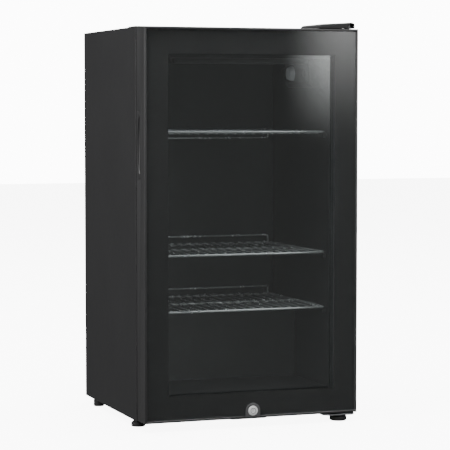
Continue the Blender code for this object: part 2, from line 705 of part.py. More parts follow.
def compressor_group():
    """Base member, rubber mounts, hermetic compressor, relay box, pipes and the drain parts."""
    half = HALF_WIDTH - SHEET - 2 * GAP
    front, back = BAY_FRONT + 0.0015, CABINET_BACK - 0.0024
    low = FOOT_HEIGHT + GAP
    plate = 0.0018
    lip = 0.010
    outline = [
        (front, low), (back, low), (back, low + lip), (back - plate, low + lip),
        (back - plate, low + plate), (front + plate, low + plate), (front + plate, low + lip),
        (front, low + lip),
    ]
    add_object("base_member", prism_shape(outline, "x", -half, half), ZINC)

    base = low + plate + GAP
    spread_x, spread_y = MOUNT_SPREAD
    spots = [(spread_x, spread_y), (-spread_x, spread_y), (-spread_x, -spread_y), (spread_x, -spread_y)]
    for number, (dx, dy) in enumerate(spots, start=1):
        centre = (COMPRESSOR.x + dx, COMPRESSOR.y + dy, 0)
        profile = [(0, base), (0.009, base), (0.009, base + 0.004), (0.0065, base + 0.0065),
                   (0.009, base + 0.009), (0.009, base + MOUNT_HEIGHT), (0, base + MOUNT_HEIGHT)]
        mount = turned_shape(profile, centre, "z", 12)
        add_object(f"compressor_mount_{number}", mount, RUBBER, smooth=ROUND_ANGLE)

    shell_low = base + MOUNT_HEIGHT + GAP
    feet_plate = box_shape(
        (COMPRESSOR.x - 0.068, COMPRESSOR.y - 0.045, shell_low),
        (COMPRESSOR.x + 0.068, COMPRESSOR.y + 0.045, shell_low + 0.0025),
    )
    compressor = add_object("compressor", feet_plate, ENAMEL)
    r = COMPRESSOR_RADIUS
    profile = [(0, shell_low + 0.001), (r * 0.80, shell_low + 0.001), (r * 0.95, shell_low + 0.008),
               (r, shell_low + 0.020), (r, shell_low + 0.068), (r * 1.02, shell_low + 0.070),
               (r * 1.02, shell_low + 0.074), (r * 0.97, shell_low + 0.080), (r * 0.86, shell_low + 0.098),
               (r * 0.60, shell_low + 0.108), (0, shell_low + SHELL_HEIGHT)]
    shell = turned_shape(profile, (COMPRESSOR.x, COMPRESSOR.y, 0), "z", 24)
    add_cutter(compressor, "compressor_shell", shell, "UNION")
    shell_top = shell_low + SHELL_HEIGHT

    side = COMPRESSOR.x + r * 1.02 + 0.0012
    relay = box_shape(
        (side, COMPRESSOR.y - 0.024, shell_low + 0.022),
        (side + RELAY_WIDTH, COMPRESSOR.y + 0.024, shell_low + 0.076),
    )
    add_object("relay_box", relay, BLACK_PLASTIC)
    gland = turned_shape(
        tube_profile(0.0040, 0.0070, 0, 0.010),
        (side + RELAY_WIDTH + GAP, COMPRESSOR.y, shell_low + 0.040), "x", 16,
    )
    add_object("mains_inlet_gland", gland, BLACK_PLASTIC, smooth=ROUND_ANGLE)

    roof = BAY_ROOF - SHEET - 2 * GAP
    left = COMPRESSOR.x - r
    outlet = left - 0.0014
    suction_y = COMPRESSOR.y + 0.010
    suction = [(outlet, 0.085), (outlet - 0.022, 0.085), (outlet - 0.022, roof)]
    route = rounded_route([(x, suction_y, z) for x, z in suction], 0.012)
    add_pipe("suction_pipe", route, SUCTION_RADIUS, COPPER)
    discharge_y, discharge_x = COMPRESSOR.y - 0.014, -0.222
    discharge = [
        (outlet, 0.060), (outlet - 0.040, 0.060), (outlet - 0.040, 0.120), (discharge_x, 0.120),
        (discharge_x, roof),
    ]
    route = rounded_route([(x, discharge_y, z) for x, z in discharge], 0.014)
    add_pipe("discharge_pipe", route, COIL_RADIUS, COPPER)
    drier_x, drier_y = -0.150, COMPRESSOR.y + 0.030
    drier = turned_shape(
        [(0, 0.050), (0.003, 0.050), (0.009, 0.060), (0.009, 0.118), (0.0014, 0.128), (0.0014, roof),
         (0, roof)],
        (drier_x, drier_y, 0), "z", 16,
    )
    add_object("filter_drier", drier, COPPER, smooth=ROUND_ANGLE)
    feed_x = -0.205
    feed = [(drier_x, 0.050 - GAP), (drier_x, 0.034), (feed_x, 0.034), (feed_x, roof)]
    route = rounded_route([(x, drier_y, z) for x, z in feed], 0.010)
    add_pipe("drier_feed_pipe", route, COIL_RADIUS, COPPER)

    floor = shell_top + GAP
    half_x, half_y, height, wall = TRAY_HALF_X, TRAY_HALF_Y, TRAY_HEIGHT, TRAY_WALL
    tray = add_object("evaporating_tray", box_shape(
        (COMPRESSOR.x - half_x, COMPRESSOR.y - half_y, floor),
        (COMPRESSOR.x + half_x, COMPRESSOR.y + half_y, floor + height)), BLACK_PLASTIC)
    hollow = box_shape(
        (COMPRESSOR.x - half_x + wall, COMPRESSOR.y - half_y + wall, floor + wall),
        (COMPRESSOR.x + half_x - wall, COMPRESSOR.y + half_y - wall, floor + height + OVERRUN),
    )
    add_cutter(tray, "tray_hollow", hollow)
    spout_low, spout_high = floor + height - 0.004, STEP_TOP - LINER_WALL - GAP
    spout = turned_shape(
        tube_profile(DRAIN_TUBE_BORE, DRAIN_TUBE_RADIUS, spout_low, spout_high), (*DRAIN.xy, 0), "z", 12,
    )
    add_object("drain_tube", spout, WHITE_PLASTIC, smooth=ROUND_ANGLE)


# ---------------------------------------------------------------- feet and hinges

def feet():
    """Two screw feet in front and two plain rubber feet at the back."""
    left = turned_shape(
        [(0, 0), (0.0135, 0), (0.0150, 0.0015), (0.0150, 0.0075), (0.0125, 0.0110),
         (STUD_RADIUS, BRACKET_TOP), (STUD_RADIUS, 0.0300), (0, 0.0300)],
        (*FOOT_LEFT_XY, 0), "z", 24,
    )
    add_object("foot_front_left", left, RUBBER, origin=(*FOOT_LEFT_XY, 0), smooth=ROUND_ANGLE)
    right = turned_shape(
        [(0, 0), (0.0165, 0), (0.0185, 0.0020), (0.0185, 0.0085), (0.0175, 0.0095),
         (STUD_RADIUS, 0.0095), (STUD_RADIUS, 0.0180), (0, 0.0180)],
        (*FOOT_RIGHT_XY, 0), "z", 24,
    )
    add_object("foot_front_right", right, RUBBER, origin=(*FOOT_RIGHT_XY, 0), smooth=ROUND_ANGLE)
    for side, word in ((-1, "left"), (1, "right")):
        centre = (side * (HALF_WIDTH - REAR_FOOT_RADIUS), FOOT_REAR_Y, 0)
        rear = turned_shape(disc_profile(REAR_FOOT_RADIUS, 0, BRACKET_TOP, 0.0015), centre, "z", 20)
        add_object(f"foot_rear_{word}", rear, RUBBER, smooth=ROUND_ANGLE)


def bottom_hinge():
    """Steel bracket under the cabinet, with its stop lug, pin and washer."""
    low, high = BRACKET_TOP - BRACKET_THICKNESS, BRACKET_TOP
    left, right = HALF_WIDTH - 0.072, HALF_WIDTH - 0.009
    front, back = DOOR_FRONT + 0.005, CABINET_FRONT + 0.050
    cut, lug = 0.012, 0.0085
    outline = [
        (left, back), (left, front + cut), (left + cut, front), (right, front),
        (right + lug, front + 0.010), (right + lug, front + 0.024), (right, front + 0.034), (right, back),
    ]
    bracket = add_object("bottom_hinge_bracket", prism_shape(outline, "z", low, high), ZINC)
    hole = disc_profile(STUD_HOLE_RADIUS, low - 0.004, high + 0.004)
    stud_hole = turned_shape(hole, (*FOOT_RIGHT_XY, 0), "z", 16)
    add_cutter(bracket, "bracket_foot_hole", stud_hole)
    axis_point = (HINGE_X, HINGE_Y, 0)
    pin_profile = disc_profile(PIN_RADIUS, high + GAP, BOTTOM_PIN_TOP, PIN_CHAMFER)
    pin = turned_shape(pin_profile, axis_point, "z", 16)
    add_object("bottom_hinge_pin", pin, ZINC, smooth=ROUND_ANGLE)
    ring = tube_profile(PIN_RADIUS + 0.0004, WASHER_RADIUS, high + GAP, DOOR_BOTTOM - GAP)
    washer = turned_shape(ring, axis_point, "z", 20)
    add_object("hinge_washer", washer, WHITE_PLASTIC, smooth=ROUND_ANGLE)


def top_hinge():
    """Steel bracket on the top, its pin into the door and its moulded cover."""
    low = CABINET_TOP + GAP + TOP_TRIM_THICKNESS + GAP
    high = low + TOP_BRACKET_THICKNESS
    left, right = HALF_WIDTH - 0.082, HALF_WIDTH - 0.0115
    front, back = HINGE_Y - 0.009, CABINET_FRONT + 0.044
    outline = [
        (left, back), (left, CABINET_FRONT + 0.004), (HINGE_X - 0.022, front + 0.004),
        (HINGE_X - 0.006, front), (right, front), (right, back),
    ]
    bracket = add_object("top_hinge_bracket", prism_shape(outline, "z", low, high), ZINC)
    axis_point = (HINGE_X, HINGE_Y, 0)
    hole = turned_shape(disc_profile(PIN_RADIUS + GAP, low - 0.004, high + 0.004), axis_point, "z", 16)
    add_cutter(bracket, "top_bracket_pin_hole", hole)
    head, head_top = PIN_HEAD_RADIUS, high + 0.0050
    pin_profile = [
        (0, TOP_PIN_LOW), (PIN_RADIUS - PIN_CHAMFER, TOP_PIN_LOW), (PIN_RADIUS, TOP_PIN_LOW + PIN_CHAMFER),
        (PIN_RADIUS, high + GAP), (head, high + GAP), (head, head_top - PIN_CHAMFER),
        (head - PIN_CHAMFER, head_top), (0, head_top),
    ]
    pin = turned_shape(pin_profile, axis_point, "z", 20)
    add_object("top_hinge_pin", pin, ZINC, smooth=ROUND_ANGLE)
    hinge_cover(low)


def hinge_cover(cover_low):
    """Hollow moulded cover over the top bracket, open below and windowed at the pin's head."""
    base = DOOR_TOP + 0.0012
    x_left, x_right = HALF_WIDTH - 0.0885, HALF_WIDTH - 0.0085
    z_left, z_right = COVER_TOP_LEFT, COVER_TOP_RIGHT
    y_front, y_back = DOOR_FRONT + 0.0015, CABINET_FRONT + TOP_TRIM_DEPTH - 0.003
    wall = COVER_WALL

    def cover_outline(inset, bottom):
        return [
            (x_left + inset, bottom), (x_left + inset, z_left - 0.0035),
            (x_left + 0.0045 + inset * 0.4, z_left - inset), (x_right - 0.0060, z_right - inset),
            (x_right - inset - 0.0015, z_right - 0.0022), (x_right - inset, z_right - 0.0050),
            (x_right - inset, bottom),
        ]

    block = prism_shape(cover_outline(0.0, base), "y", y_front, y_back)
    cover = add_object("hinge_cover", block, BLACK_PLASTIC)
    trim_notch = box_shape(
        (x_left - OVERRUN, CABINET_FRONT - 0.003, base - OVERRUN),
        (x_right + OVERRUN, y_back + OVERRUN, cover_low),
    )
    add_cutter(cover, "hinge_cover_step", trim_notch)
    hollow = prism_shape(cover_outline(wall, base - OVERRUN), "y", y_front + wall, y_back - wall)
    add_cutter(cover, "hinge_cover_hollow", hollow)
    window = box_shape(
        (x_right - 0.0135, y_front - OVERRUN, base - OVERRUN),
        (x_right - 0.0022, y_front + wall + 0.002, COVER_TOP_RIGHT - 0.0026),
    )
    add_cutter(cover, "hinge_cover_window", window)


# ---------------------------------------------------------------- door

def frame_section():
    """Section of the door's frame: lip, pane recess, unit recess, inner wall and gasket groove."""
    rounding = 0.0006
    rear = DOOR_THICKNESS
    groove_end = GROOVE_INSET + GROOVE_WIDTH
    lip_inset, unit_inset = GLASS_INSET - GAP, UNIT_INSET - GAP
    return [
        (0.0, 0.0035), (0.0, rear - 0.0015), (0.0015, rear), (GROOVE_INSET, rear),
        (GROOVE_INSET, rear - GROOVE_DEPTH), (groove_end, rear - GROOVE_DEPTH), (groove_end, rear),
        (DOOR_BORDER, rear), (DOOR_BORDER, INNER_PANE_BACK + GAP), (unit_inset, INNER_PANE_BACK + GAP),
        (unit_inset, GLASS_BACK + GAP), (lip_inset, GLASS_BACK + GAP), (lip_inset, rounding),
        (lip_inset - rounding, 0.0), (0.0030, 0.0), (0.0008, 0.0009),
    ]


def door_frame(axis_empty):
    """Four mitred profiles, bored for the pins, the grip piece, the lock and its bolt."""
    names = ("door_rail_bottom", "door_stile_right", "door_rail_top", "door_stile_left")
    bars = {}
    for side, name in enumerate(names):
        bar = mitred_bar_shape(side, frame_section())
        bars[name] = add_object(name, bar, BLACK_PLASTIC, parent=axis_empty)
    bore = BUSH_RADIUS + GAP
    reaches = {
        "bottom": (DOOR_BOTTOM - OVERRUN, DOOR_BOTTOM + 0.0145),
        "top": (DOOR_TOP - 0.0205, DOOR_TOP + OVERRUN),
    }
    for end, (z_low, z_high) in reaches.items():
        for name in (f"door_rail_{end}", "door_stile_right"):
            hole = turned_shape(disc_profile(bore, z_low, z_high), (HINGE_X, HINGE_Y, 0), "z", 20)
            add_cutter(bars[name], f"{name}_pin_bore_{end}", hole)

    front, back = GRIP_FRONT, GRIP_BACK
    pocket = box_shape(
        (-HALF_WIDTH - OVERRUN, front - GRIP_SLOT, GRIP_CENTRE_Z - GRIP_PIECE_LENGTH / 2 - GAP),
        (-HALF_WIDTH + GRIP_PIECE_DEPTH + GAP, back + GAP, GRIP_CENTRE_Z + GRIP_PIECE_LENGTH / 2 + GAP),
    )
    add_cutter(bars["door_stile_left"], "grip_pocket", pocket)

    rail = bars["door_rail_bottom"]
    bore_profile = disc_profile(LOCK_RADIUS + LOCK_CLEARANCE, -OVERRUN, BARREL_LENGTH + 0.0015)
    barrel_bore = turned_shape(bore_profile, (0, DOOR_FRONT, LOCK_Z), "y", 24)
    add_cutter(rail, "lock_bore", barrel_bore)
    mouth_low = DOOR_BOTTOM + GLASS_INSET - GAP
    mouth = box_shape(
        (-LOCK_PLATE_RADIUS, DOOR_FRONT - OVERRUN, mouth_low - 0.0025),
        (LOCK_PLATE_RADIUS, DOOR_FRONT + GLASS_BACK + GAP, LOCK_Z),
    )
    add_cutter(rail, "lock_plate_mouth", mouth)
    room_x, room_y = BOLT_HALF_WIDTH + BOLT_CLEARANCE, BOLT_HALF_THICKNESS + BOLT_CLEARANCE
    bolt_room = box_shape(
        (-room_x, BOLT_Y - room_y, DOOR_BOTTOM - OVERRUN), (room_x, BOLT_Y + room_y, BOLT_TOP + 0.01),
    )
    add_cutter(rail, "bolt_room", bolt_room)


def grip_piece(axis_empty):
    """Moulded finger grip let into the door's edge: steep in front, running out behind."""
    front, back = GRIP_FRONT, GRIP_BACK
    low, high = GRIP_CENTRE_Z - GRIP_PIECE_LENGTH / 2, GRIP_CENTRE_Z + GRIP_PIECE_LENGTH / 2
    block = box_shape((-HALF_WIDTH, front, low), (-HALF_WIDTH + GRIP_PIECE_DEPTH, back, high))
    piece = add_object("grip_insert", block, BLACK_PLASTIC, parent=axis_empty)
    scoop = bmesh.new()
    bmesh.ops.create_uvsphere(scoop, u_segments=24, v_segments=16, radius=1.0)
    radii = (GRIP_SCOOP_DEPTH, GRIP_SCOOP_WIDTH, GRIP_SCOOP_LENGTH / 2)
    bmesh.ops.scale(scoop, vec=radii, verts=scoop.verts)
    everything = scoop.verts[:] + scoop.edges[:] + scoop.faces[:]
    cut = bmesh.ops.bisect_plane(
        scoop, geom=everything, plane_co=(0, 0, 0), plane_no=(0, -1, 0), clear_outer=True,
    )["geom_cut"]
    rim = [item for item in cut if isinstance(item, bmesh.types.BMEdge)]
    bmesh.ops.contextual_create(scoop, geom=rim)
    bmesh.ops.translate(scoop, vec=(-HALF_WIDTH, GRIP_SCOOP_START, GRIP_CENTRE_Z), verts=scoop.verts)
    add_cutter(piece, "grip_scoop", scoop)


def arch_outline(radius, bottom, steps=16):
    """Front view of an arch: a half round on straight legs."""
    return [(radius, bottom), *arc_points((0, LOCK_Z), radius, 0, 180, steps), (-radius, bottom)]


def door_glazing(axis_empty):
    """Outer pane with its notch for the lock, spacer frame and inner pane."""
    low, high = DOOR_BOTTOM + GLASS_INSET, DOOR_TOP - GLASS_INSET
    half = HALF_WIDTH - GLASS_INSET
    arch = arch_outline(LOCK_PLATE_RADIUS, low)
    outline = [(-half, high), (-half, low), *reversed(arch), (half, low), (half, high)]
    start = DOOR_FRONT + GLASS_FRONT
    pane = prism_shape(outline, "y", start, start + GLASS_THICKNESS)
    add_object("outer_glass", pane, GLASS, parent=axis_empty)
    outer_inset, inner_inset = SPACER_INSETS
    near = GLASS_BACK + GAP
    far = near + PANE_GAP
    spacer = [(outer_inset, near), (inner_inset, near), (inner_inset, far), (outer_inset, far)]
    add_object("glazing_spacer", ring_shape(spacer), SPACER_METAL, parent=axis_empty)
    inner_low, inner_high = DOOR_BOTTOM + UNIT_INSET, DOOR_TOP - UNIT_INSET
    inner_half = HALF_WIDTH - UNIT_INSET
    pane = box_shape(
        (-inner_half, DOOR_FRONT + INNER_PANE_FRONT, inner_low),
        (inner_half, DOOR_FRONT + INNER_PANE_BACK, inner_high),
    )
    add_object("inner_glass", pane, GLASS, parent=axis_empty)


def door_gasket(axis_empty):
    """Magnetic gasket with its barb in the frame's groove."""
    reach = DOOR_THICKNESS + GAP
    face = DOOR_THICKNESS + GASKET_FACE
    chamfer = GASKET_CHAMFER
    inner = GASKET_INSET + GASKET_WIDTH
    barb = GROOVE_INSET + BARB_CLEARANCE
    barb_end = GROOVE_INSET + GROOVE_WIDTH - BARB_CLEARANCE
    barb_tip = DOOR_THICKNESS - GROOVE_DEPTH + 0.0006
    section = [
        (GASKET_INSET, reach + chamfer), (GASKET_INSET, face), (inner, face), (inner, reach + chamfer),
        (inner - chamfer, reach), (barb_end, reach), (barb_end, barb_tip), (barb, barb_tip), (barb, reach),
        (GASKET_INSET + chamfer, reach),
    ]
    add_object("door_gasket", ring_shape(section), GASKET_RUBBER, parent=axis_empty)


def door_bushes(axis_empty):
    """Plastic bushes that line the pin bores."""
    inner = PIN_RADIUS + 0.0003
    reaches = {
        "top": (DOOR_TOP - 0.0200, DOOR_TOP - 0.0002),
        "bottom": (DOOR_BOTTOM + 0.0002, DOOR_BOTTOM + 0.0140),
    }
    for word, (low, high) in reaches.items():
        bush = turned_shape(tube_profile(inner, BUSH_RADIUS, low, high), (HINGE_X, HINGE_Y, 0), "z", 20)
        add_object(f"door_bush_{word}", bush, WHITE_PLASTIC, parent=axis_empty, smooth=ROUND_ANGLE)


def lock(axis_empty):
    """Arched plate in the pane's notch, key barrel and the bolt that it drives down."""
    low = DOOR_BOTTOM + GLASS_INSET - 0.0022
    arch = arch_outline(LOCK_PLATE_RADIUS - GAP, low)
    plate = prism_shape(arch, "y", DOOR_FRONT + 0.0003, DOOR_FRONT + GLASS_BACK)
    plate_piece = add_object("lock_bezel", plate, BLACK_PLASTIC, parent=axis_empty)
    axis_point = (0, DOOR_FRONT, LOCK_Z)
    bore_profile = disc_profile(LOCK_RADIUS + LOCK_CLEARANCE, -OVERRUN, 2 * OVERRUN)
    bore = turned_shape(bore_profile, axis_point, "y", 24)
    add_cutter(plate_piece, "lock_bezel_bore", bore)

    barrel_profile = [
        (0, -0.0004), (LOCK_RADIUS - 0.0020, -0.0010), (LOCK_RADIUS - 0.0006, -0.0006),
        (LOCK_RADIUS, 0.0004), (LOCK_RADIUS, BARREL_LENGTH), (0, BARREL_LENGTH),
    ]
    barrel = add_object(
        "lock_barrel", turned_shape(barrel_profile, axis_point, "y", 24), LOCK_METAL, parent=axis_empty,
        origin=axis_point, smooth=ROUND_ANGLE,
    )
    keyhole = box_shape(
        (-0.0007, DOOR_FRONT - OVERRUN, LOCK_Z - 0.0035), (0.0007, DOOR_FRONT + 0.012, LOCK_Z + 0.0035),
    )
    add_cutter(barrel, "keyhole", keyhole)

    bolt = box_shape(
        (-BOLT_HALF_WIDTH, BOLT_Y - BOLT_HALF_THICKNESS, DOOR_BOTTOM + 0.0004),
        (BOLT_HALF_WIDTH, BOLT_Y + BOLT_HALF_THICKNESS, BOLT_TOP),
    )
    add_object("lock_bolt", bolt, ZINC, parent=axis_empty, origin=(0, BOLT_Y, 0.030))


def strike_plate():
    """Plate under the cabinet that reaches below the door, with the slot the bolt drops into."""
    low, high = BRACKET_TOP - STRIKE_THICKNESS, BRACKET_TOP
    front, back = DOOR_FRONT + 0.0250, CABINET_FRONT + 0.040
    half, shoulder = STRIKE_HALF_WIDTH, front + STRIKE_CORNER
    nose = half - 0.009
    outline = [
        (-half, back), (-half, shoulder), (-nose, front), (nose, front), (half, shoulder), (half, back),
    ]
    plate = add_object("strike_plate", prism_shape(outline, "z", low, high), ZINC)
    slot = box_shape(
        (-BOLT_HALF_WIDTH - 0.003, BOLT_Y - BOLT_HALF_THICKNESS - 0.0022, low - OVERRUN),
        (BOLT_HALF_WIDTH + 0.003, BOLT_Y + BOLT_HALF_THICKNESS + 0.0022, high + OVERRUN),
    )
    add_cutter(plate, "strike_slot", slot)


# ---------------------------------------------------------------- assembly

def build():
    """Clear the scene and build every piece."""
    for leftover in list(bpy.data.objects):
        bpy.data.objects.remove(leftover, do_unlink=True)
    for side, word in ((-1, "left"), (1, "right")):
        side_panel(f"side_panel_{word}", side)
    top_panel()
    bottom_panel()
    bay_panel()
    back_panel()
    top_front_trim()
    inner_liner()
    foam_insulation()
    refrigerant_coils()
    for name, level in SHELF_LEVELS.items():
        shelf(name, level, stop_up=name != "shelf_top")
    thermostat()
    cabinet_light()
    compressor_group()
    feet()
    bottom_hinge()
    top_hinge()
    strike_plate()
    door_axis = add_empty("door_hinge_axis", (HINGE_X, HINGE_Y, (DOOR_BOTTOM + DOOR_TOP) / 2))
    door_frame(door_axis)
    grip_piece(door_axis)
    door_glazing(door_axis)
    door_gasket(door_axis)
    door_bushes(door_axis)
    lock(door_axis)


build()
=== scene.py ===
"""Undercounter refrigerator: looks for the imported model.

Every length is in metres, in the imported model's own frame: z = 0 is the floor, the door faces -Y
and the hinges are on the +X side.
"""

import json
from math import cos, pi, radians, sin

import bmesh
import bpy
from mathutils import Matrix, Vector

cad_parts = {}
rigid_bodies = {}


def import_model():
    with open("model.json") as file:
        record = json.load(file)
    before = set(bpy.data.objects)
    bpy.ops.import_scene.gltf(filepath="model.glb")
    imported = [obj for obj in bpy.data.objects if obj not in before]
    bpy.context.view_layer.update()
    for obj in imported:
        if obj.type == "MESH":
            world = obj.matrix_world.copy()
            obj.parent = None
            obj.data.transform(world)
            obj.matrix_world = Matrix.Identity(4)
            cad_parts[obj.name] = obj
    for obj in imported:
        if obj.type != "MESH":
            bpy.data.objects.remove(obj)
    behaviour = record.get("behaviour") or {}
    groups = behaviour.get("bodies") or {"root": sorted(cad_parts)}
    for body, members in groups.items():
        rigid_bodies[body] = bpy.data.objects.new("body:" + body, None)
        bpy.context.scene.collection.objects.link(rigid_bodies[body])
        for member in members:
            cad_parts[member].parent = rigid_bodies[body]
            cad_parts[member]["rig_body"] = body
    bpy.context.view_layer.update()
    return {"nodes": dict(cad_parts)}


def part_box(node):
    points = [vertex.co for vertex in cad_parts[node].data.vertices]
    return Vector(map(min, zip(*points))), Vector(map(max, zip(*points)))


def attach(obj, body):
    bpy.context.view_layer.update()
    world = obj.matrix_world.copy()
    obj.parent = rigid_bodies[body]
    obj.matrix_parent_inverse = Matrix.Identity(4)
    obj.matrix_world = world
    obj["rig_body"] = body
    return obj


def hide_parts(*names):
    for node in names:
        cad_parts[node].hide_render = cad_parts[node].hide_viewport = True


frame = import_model()

bl_info = {
    "name": "Undercounter refrigerator",
    "version": (1, 0, 0),
    "blender": (4, 5, 0),
    "location": "3D View > Sidebar > Refrigerator",
    "description": "Makes the finishes and the fine pieces of a glazed undercounter refrigerator",
    "category": "Object",
}

DOOR_BARS = ("door_rail_bottom", "door_stile_right", "door_rail_top", "door_stile_left")
SHELVES = {"shelf_top": -1, "shelf_middle": 1, "shelf_bottom": 1}
SOFT_ANGLE = 32  # degrees; edges that turn less than this are shaded smooth
FLAT_ANGLE = 1.0  # degrees; faces that turn less than this are one face
SHARP_ANGLE = 35  # degrees; edges that turn more than this are rounded
MERGE_DISTANCE = 1e-5
TEXT_MERGE_DISTANCE = 1e-6
GAP = 0.0003  # clearance between neighbouring parts

# Roundings of a refined node's edges
NO_ROUNDING = 0.0
TURNED_EDGE = 0.0002
FINE_EDGE = 0.0003
METAL_EDGE = 0.0004
MOULDED_EDGE = 0.0005
BROAD_EDGE = 0.0010

# Studio
WHITE = (1, 1, 1, 1)
FLOOR_HALF = 12.0
AIM_POINT = (0, 0, 0.4)  # every light faces this point
KEY_PLACE, KEY_SIZE = (-3.8, -1.2, 1.7), 2.8
FILL_PLACE, FILL_SIZE = (-0.6, -4.6, 2.6), 1.6
FILL_SHARE = 0.15  # the fill light's power, as a share of the key light's
TOP_PLACE, TOP_SIZE = (0.0, 0.2, 4.6), 6.0
CARD_PLACE, CARD_HALF = (2.25, -3.0, 1.5), 1.2
CARD_ACROSS = {"From Min": 1.17, "From Max": 1.42}  # x over which the card brightens
CARD_UPWARD = {"From Min": 0.50, "From Max": 1.0}  # z over which the card brightens
CARD_FADE = 2.0  # power of the rise in z
SENSOR_WIDTH = 36.0  # millimetres

# Finishes
NOISE_RANGE = {"From Min": 0.3, "From Max": 0.7}  # where most of a noise texture's values lie
CLOUD_SCALE = 22.0  # of the slow drift on drawn metal
LINE_SHARE = 0.45  # of the fine lines in drawn metal, beside the drift
GLASS_TINT = (0.96, 0.98, 0.975, 1)
GLASS_SHADOW = (0.93, 0.95, 0.945, 1)  # light that a pane lets through
GLASS_INDEX = 1.5
COATED_INDEX = 2.2  # a stand-in for a mirroring coat on the inner pane
LENS_GLOW = 2.2

# Wire shelves
ROD_SIDES, WIRE_SIDES, RAIL_SIDES = 12, 8, 10
WIRE_BITE = 0.0004  # how far a cross wire sinks into the frame rods
WIRE_SETBACK = 0.0004  # of a wire's ends from the frame's outside
RAIL_RADIUS = 0.002
RAIL_INSET = 0.010
RAIL_FORWARD = 0.0005
RAIL_BEND = 0.006

# Screws and bolts
SCREW_SIDES = 16
HEAD_TAPER = 0.82  # the head's top radius, as a share of its foot
RECESS_MARGIN = 0.45  # of the radius
RECESS_LIP = 0.0001
RECESS_DEPTH = 0.4  # of the head's height
SCREW_HEIGHT = 0.0016
SCREW_SETBACK = 0.014  # from the rear edge of the bracket or the strike plate
BRACKET_SCREW_RADIUS, BRACKET_SCREW_LEFT, BRACKET_SCREW_RIGHT = 0.0042, 0.014, 0.020
STRIKE_SCREW_RADIUS, STRIKE_SCREW_INSET = 0.0038, 0.013
BOLT_RADIUS, BOLT_HEIGHT = 0.0048, 0.003
FOOT_PLATE = 0.0028  # height of the compressor's foot plate over its mounts

# Printed border, on the back of the outer pane
PRINT_OFFSET = 0.00006
PRINT_THICKNESS = 0.00012
ARCH_STEPS = 24

# Gasket
GASKET_WIDTH = 0.0135
GASKET_FOLD = 0.0009
SEAT_CHAMFER, FACE_CHAMFER = 0.0008, 0.0006
# Barbed rib: distance from the door's edge, depth into the frame's groove
GASKET_RIB = (
    (0.0201, 0.0), (0.0201, 0.0020), (0.0194, 0.0028), (0.0201, 0.0036), (0.0190, 0.0060),
    (0.0180, 0.0060), (0.0174, 0.0036), (0.0180, 0.0028), (0.0174, 0.0020), (0.0174, 0.0),
)

# Lock and dial
KEY_RING_RADIUS, KEY_RING_WIRE = 0.0056, 0.0007
KEY_RING_STEPS, KEY_RING_SIDES = 32, 8
DIAL_NUMBERS = 7
FIRST_NUMBER, NUMBER_STEP = -135, 45  # degrees round the dial
NUMBER_SIZE, NUMBER_THICKNESS = 0.0052, 0.00006
NUMBER_RADIUS = 0.0215  # of the ring of numbers
NUMBER_LIFT = 0.00005

GLASS_LOW, GLASS_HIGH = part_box("outer_glass")
BARREL_LOW, BARREL_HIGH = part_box("lock_barrel")
CONTROL_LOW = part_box("thermostat_housing")[0]
KNOB_LOW, KNOB_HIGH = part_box("thermostat_knob")


# ---------------------------------------------------------------- settings

class StageSettings(bpy.types.PropertyGroup):
    """Camera, floor and lights."""

    camera_place: bpy.props.FloatVectorProperty(
        name="Camera place", description="Where the camera stands", size=3, subtype="TRANSLATION",
        unit="LENGTH", default=(-1.3925, -3.8961, 0.6726))
    camera_turn: bpy.props.FloatVectorProperty(
        name="Camera turn", description="The camera's rotation", size=3, subtype="EULER",
        unit="ROTATION", default=(radians(86.386), 0.0, radians(-19.905)))
    lens: bpy.props.FloatProperty(
        name="Lens", description="Focal length in millimetres", default=151.14, min=10)
    floor_colour: bpy.props.FloatVectorProperty(
        name="Floor", description="Colour of the floor", size=4, subtype="COLOR",
        default=(0.86, 0.86, 0.86, 1.0))
    floor_glow: bpy.props.FloatProperty(
        name="Floor glow", description="Brightness that the floor has of its own", default=8.0,
        min=0)
    backdrop: bpy.props.FloatProperty(
        name="Backdrop", description="Brightness of the background behind the object", default=12.0,
        min=0)
    ambient: bpy.props.FloatProperty(
        name="Ambient", description="Brightness of the soft light from all around", default=0.085,
        min=0)
    key_power: bpy.props.FloatProperty(
        name="Key light", description="Power of the large light at the front left", default=110.0,
        unit="POWER", min=0)
    top_power: bpy.props.FloatProperty(
        name="Top light", description="Power of the large light overhead", default=700.0,
        unit="POWER", min=0)
    card_strength: bpy.props.FloatProperty(
        name="Card", description="Brightness of the card mirrored in the glass", default=3.6, min=0)


class CabinetSettings(bpy.types.PropertyGroup):
    """Steel cabinet and plastic liner."""

    paint: bpy.props.FloatVectorProperty(
        name="Paint", description="Colour of the painted steel", size=4, subtype="COLOR",
        default=(0.030, 0.030, 0.031, 1.0))
    liner: bpy.props.FloatVectorProperty(
        name="Liner", description="Colour of the inner liner", size=4, subtype="COLOR",
        default=(0.012, 0.012, 0.013, 1.0))
    liner_rounding: bpy.props.FloatProperty(
        name="Liner rounding", description="Rounding of the liner's formed edges", default=0.0016,
        unit="LENGTH", min=0)


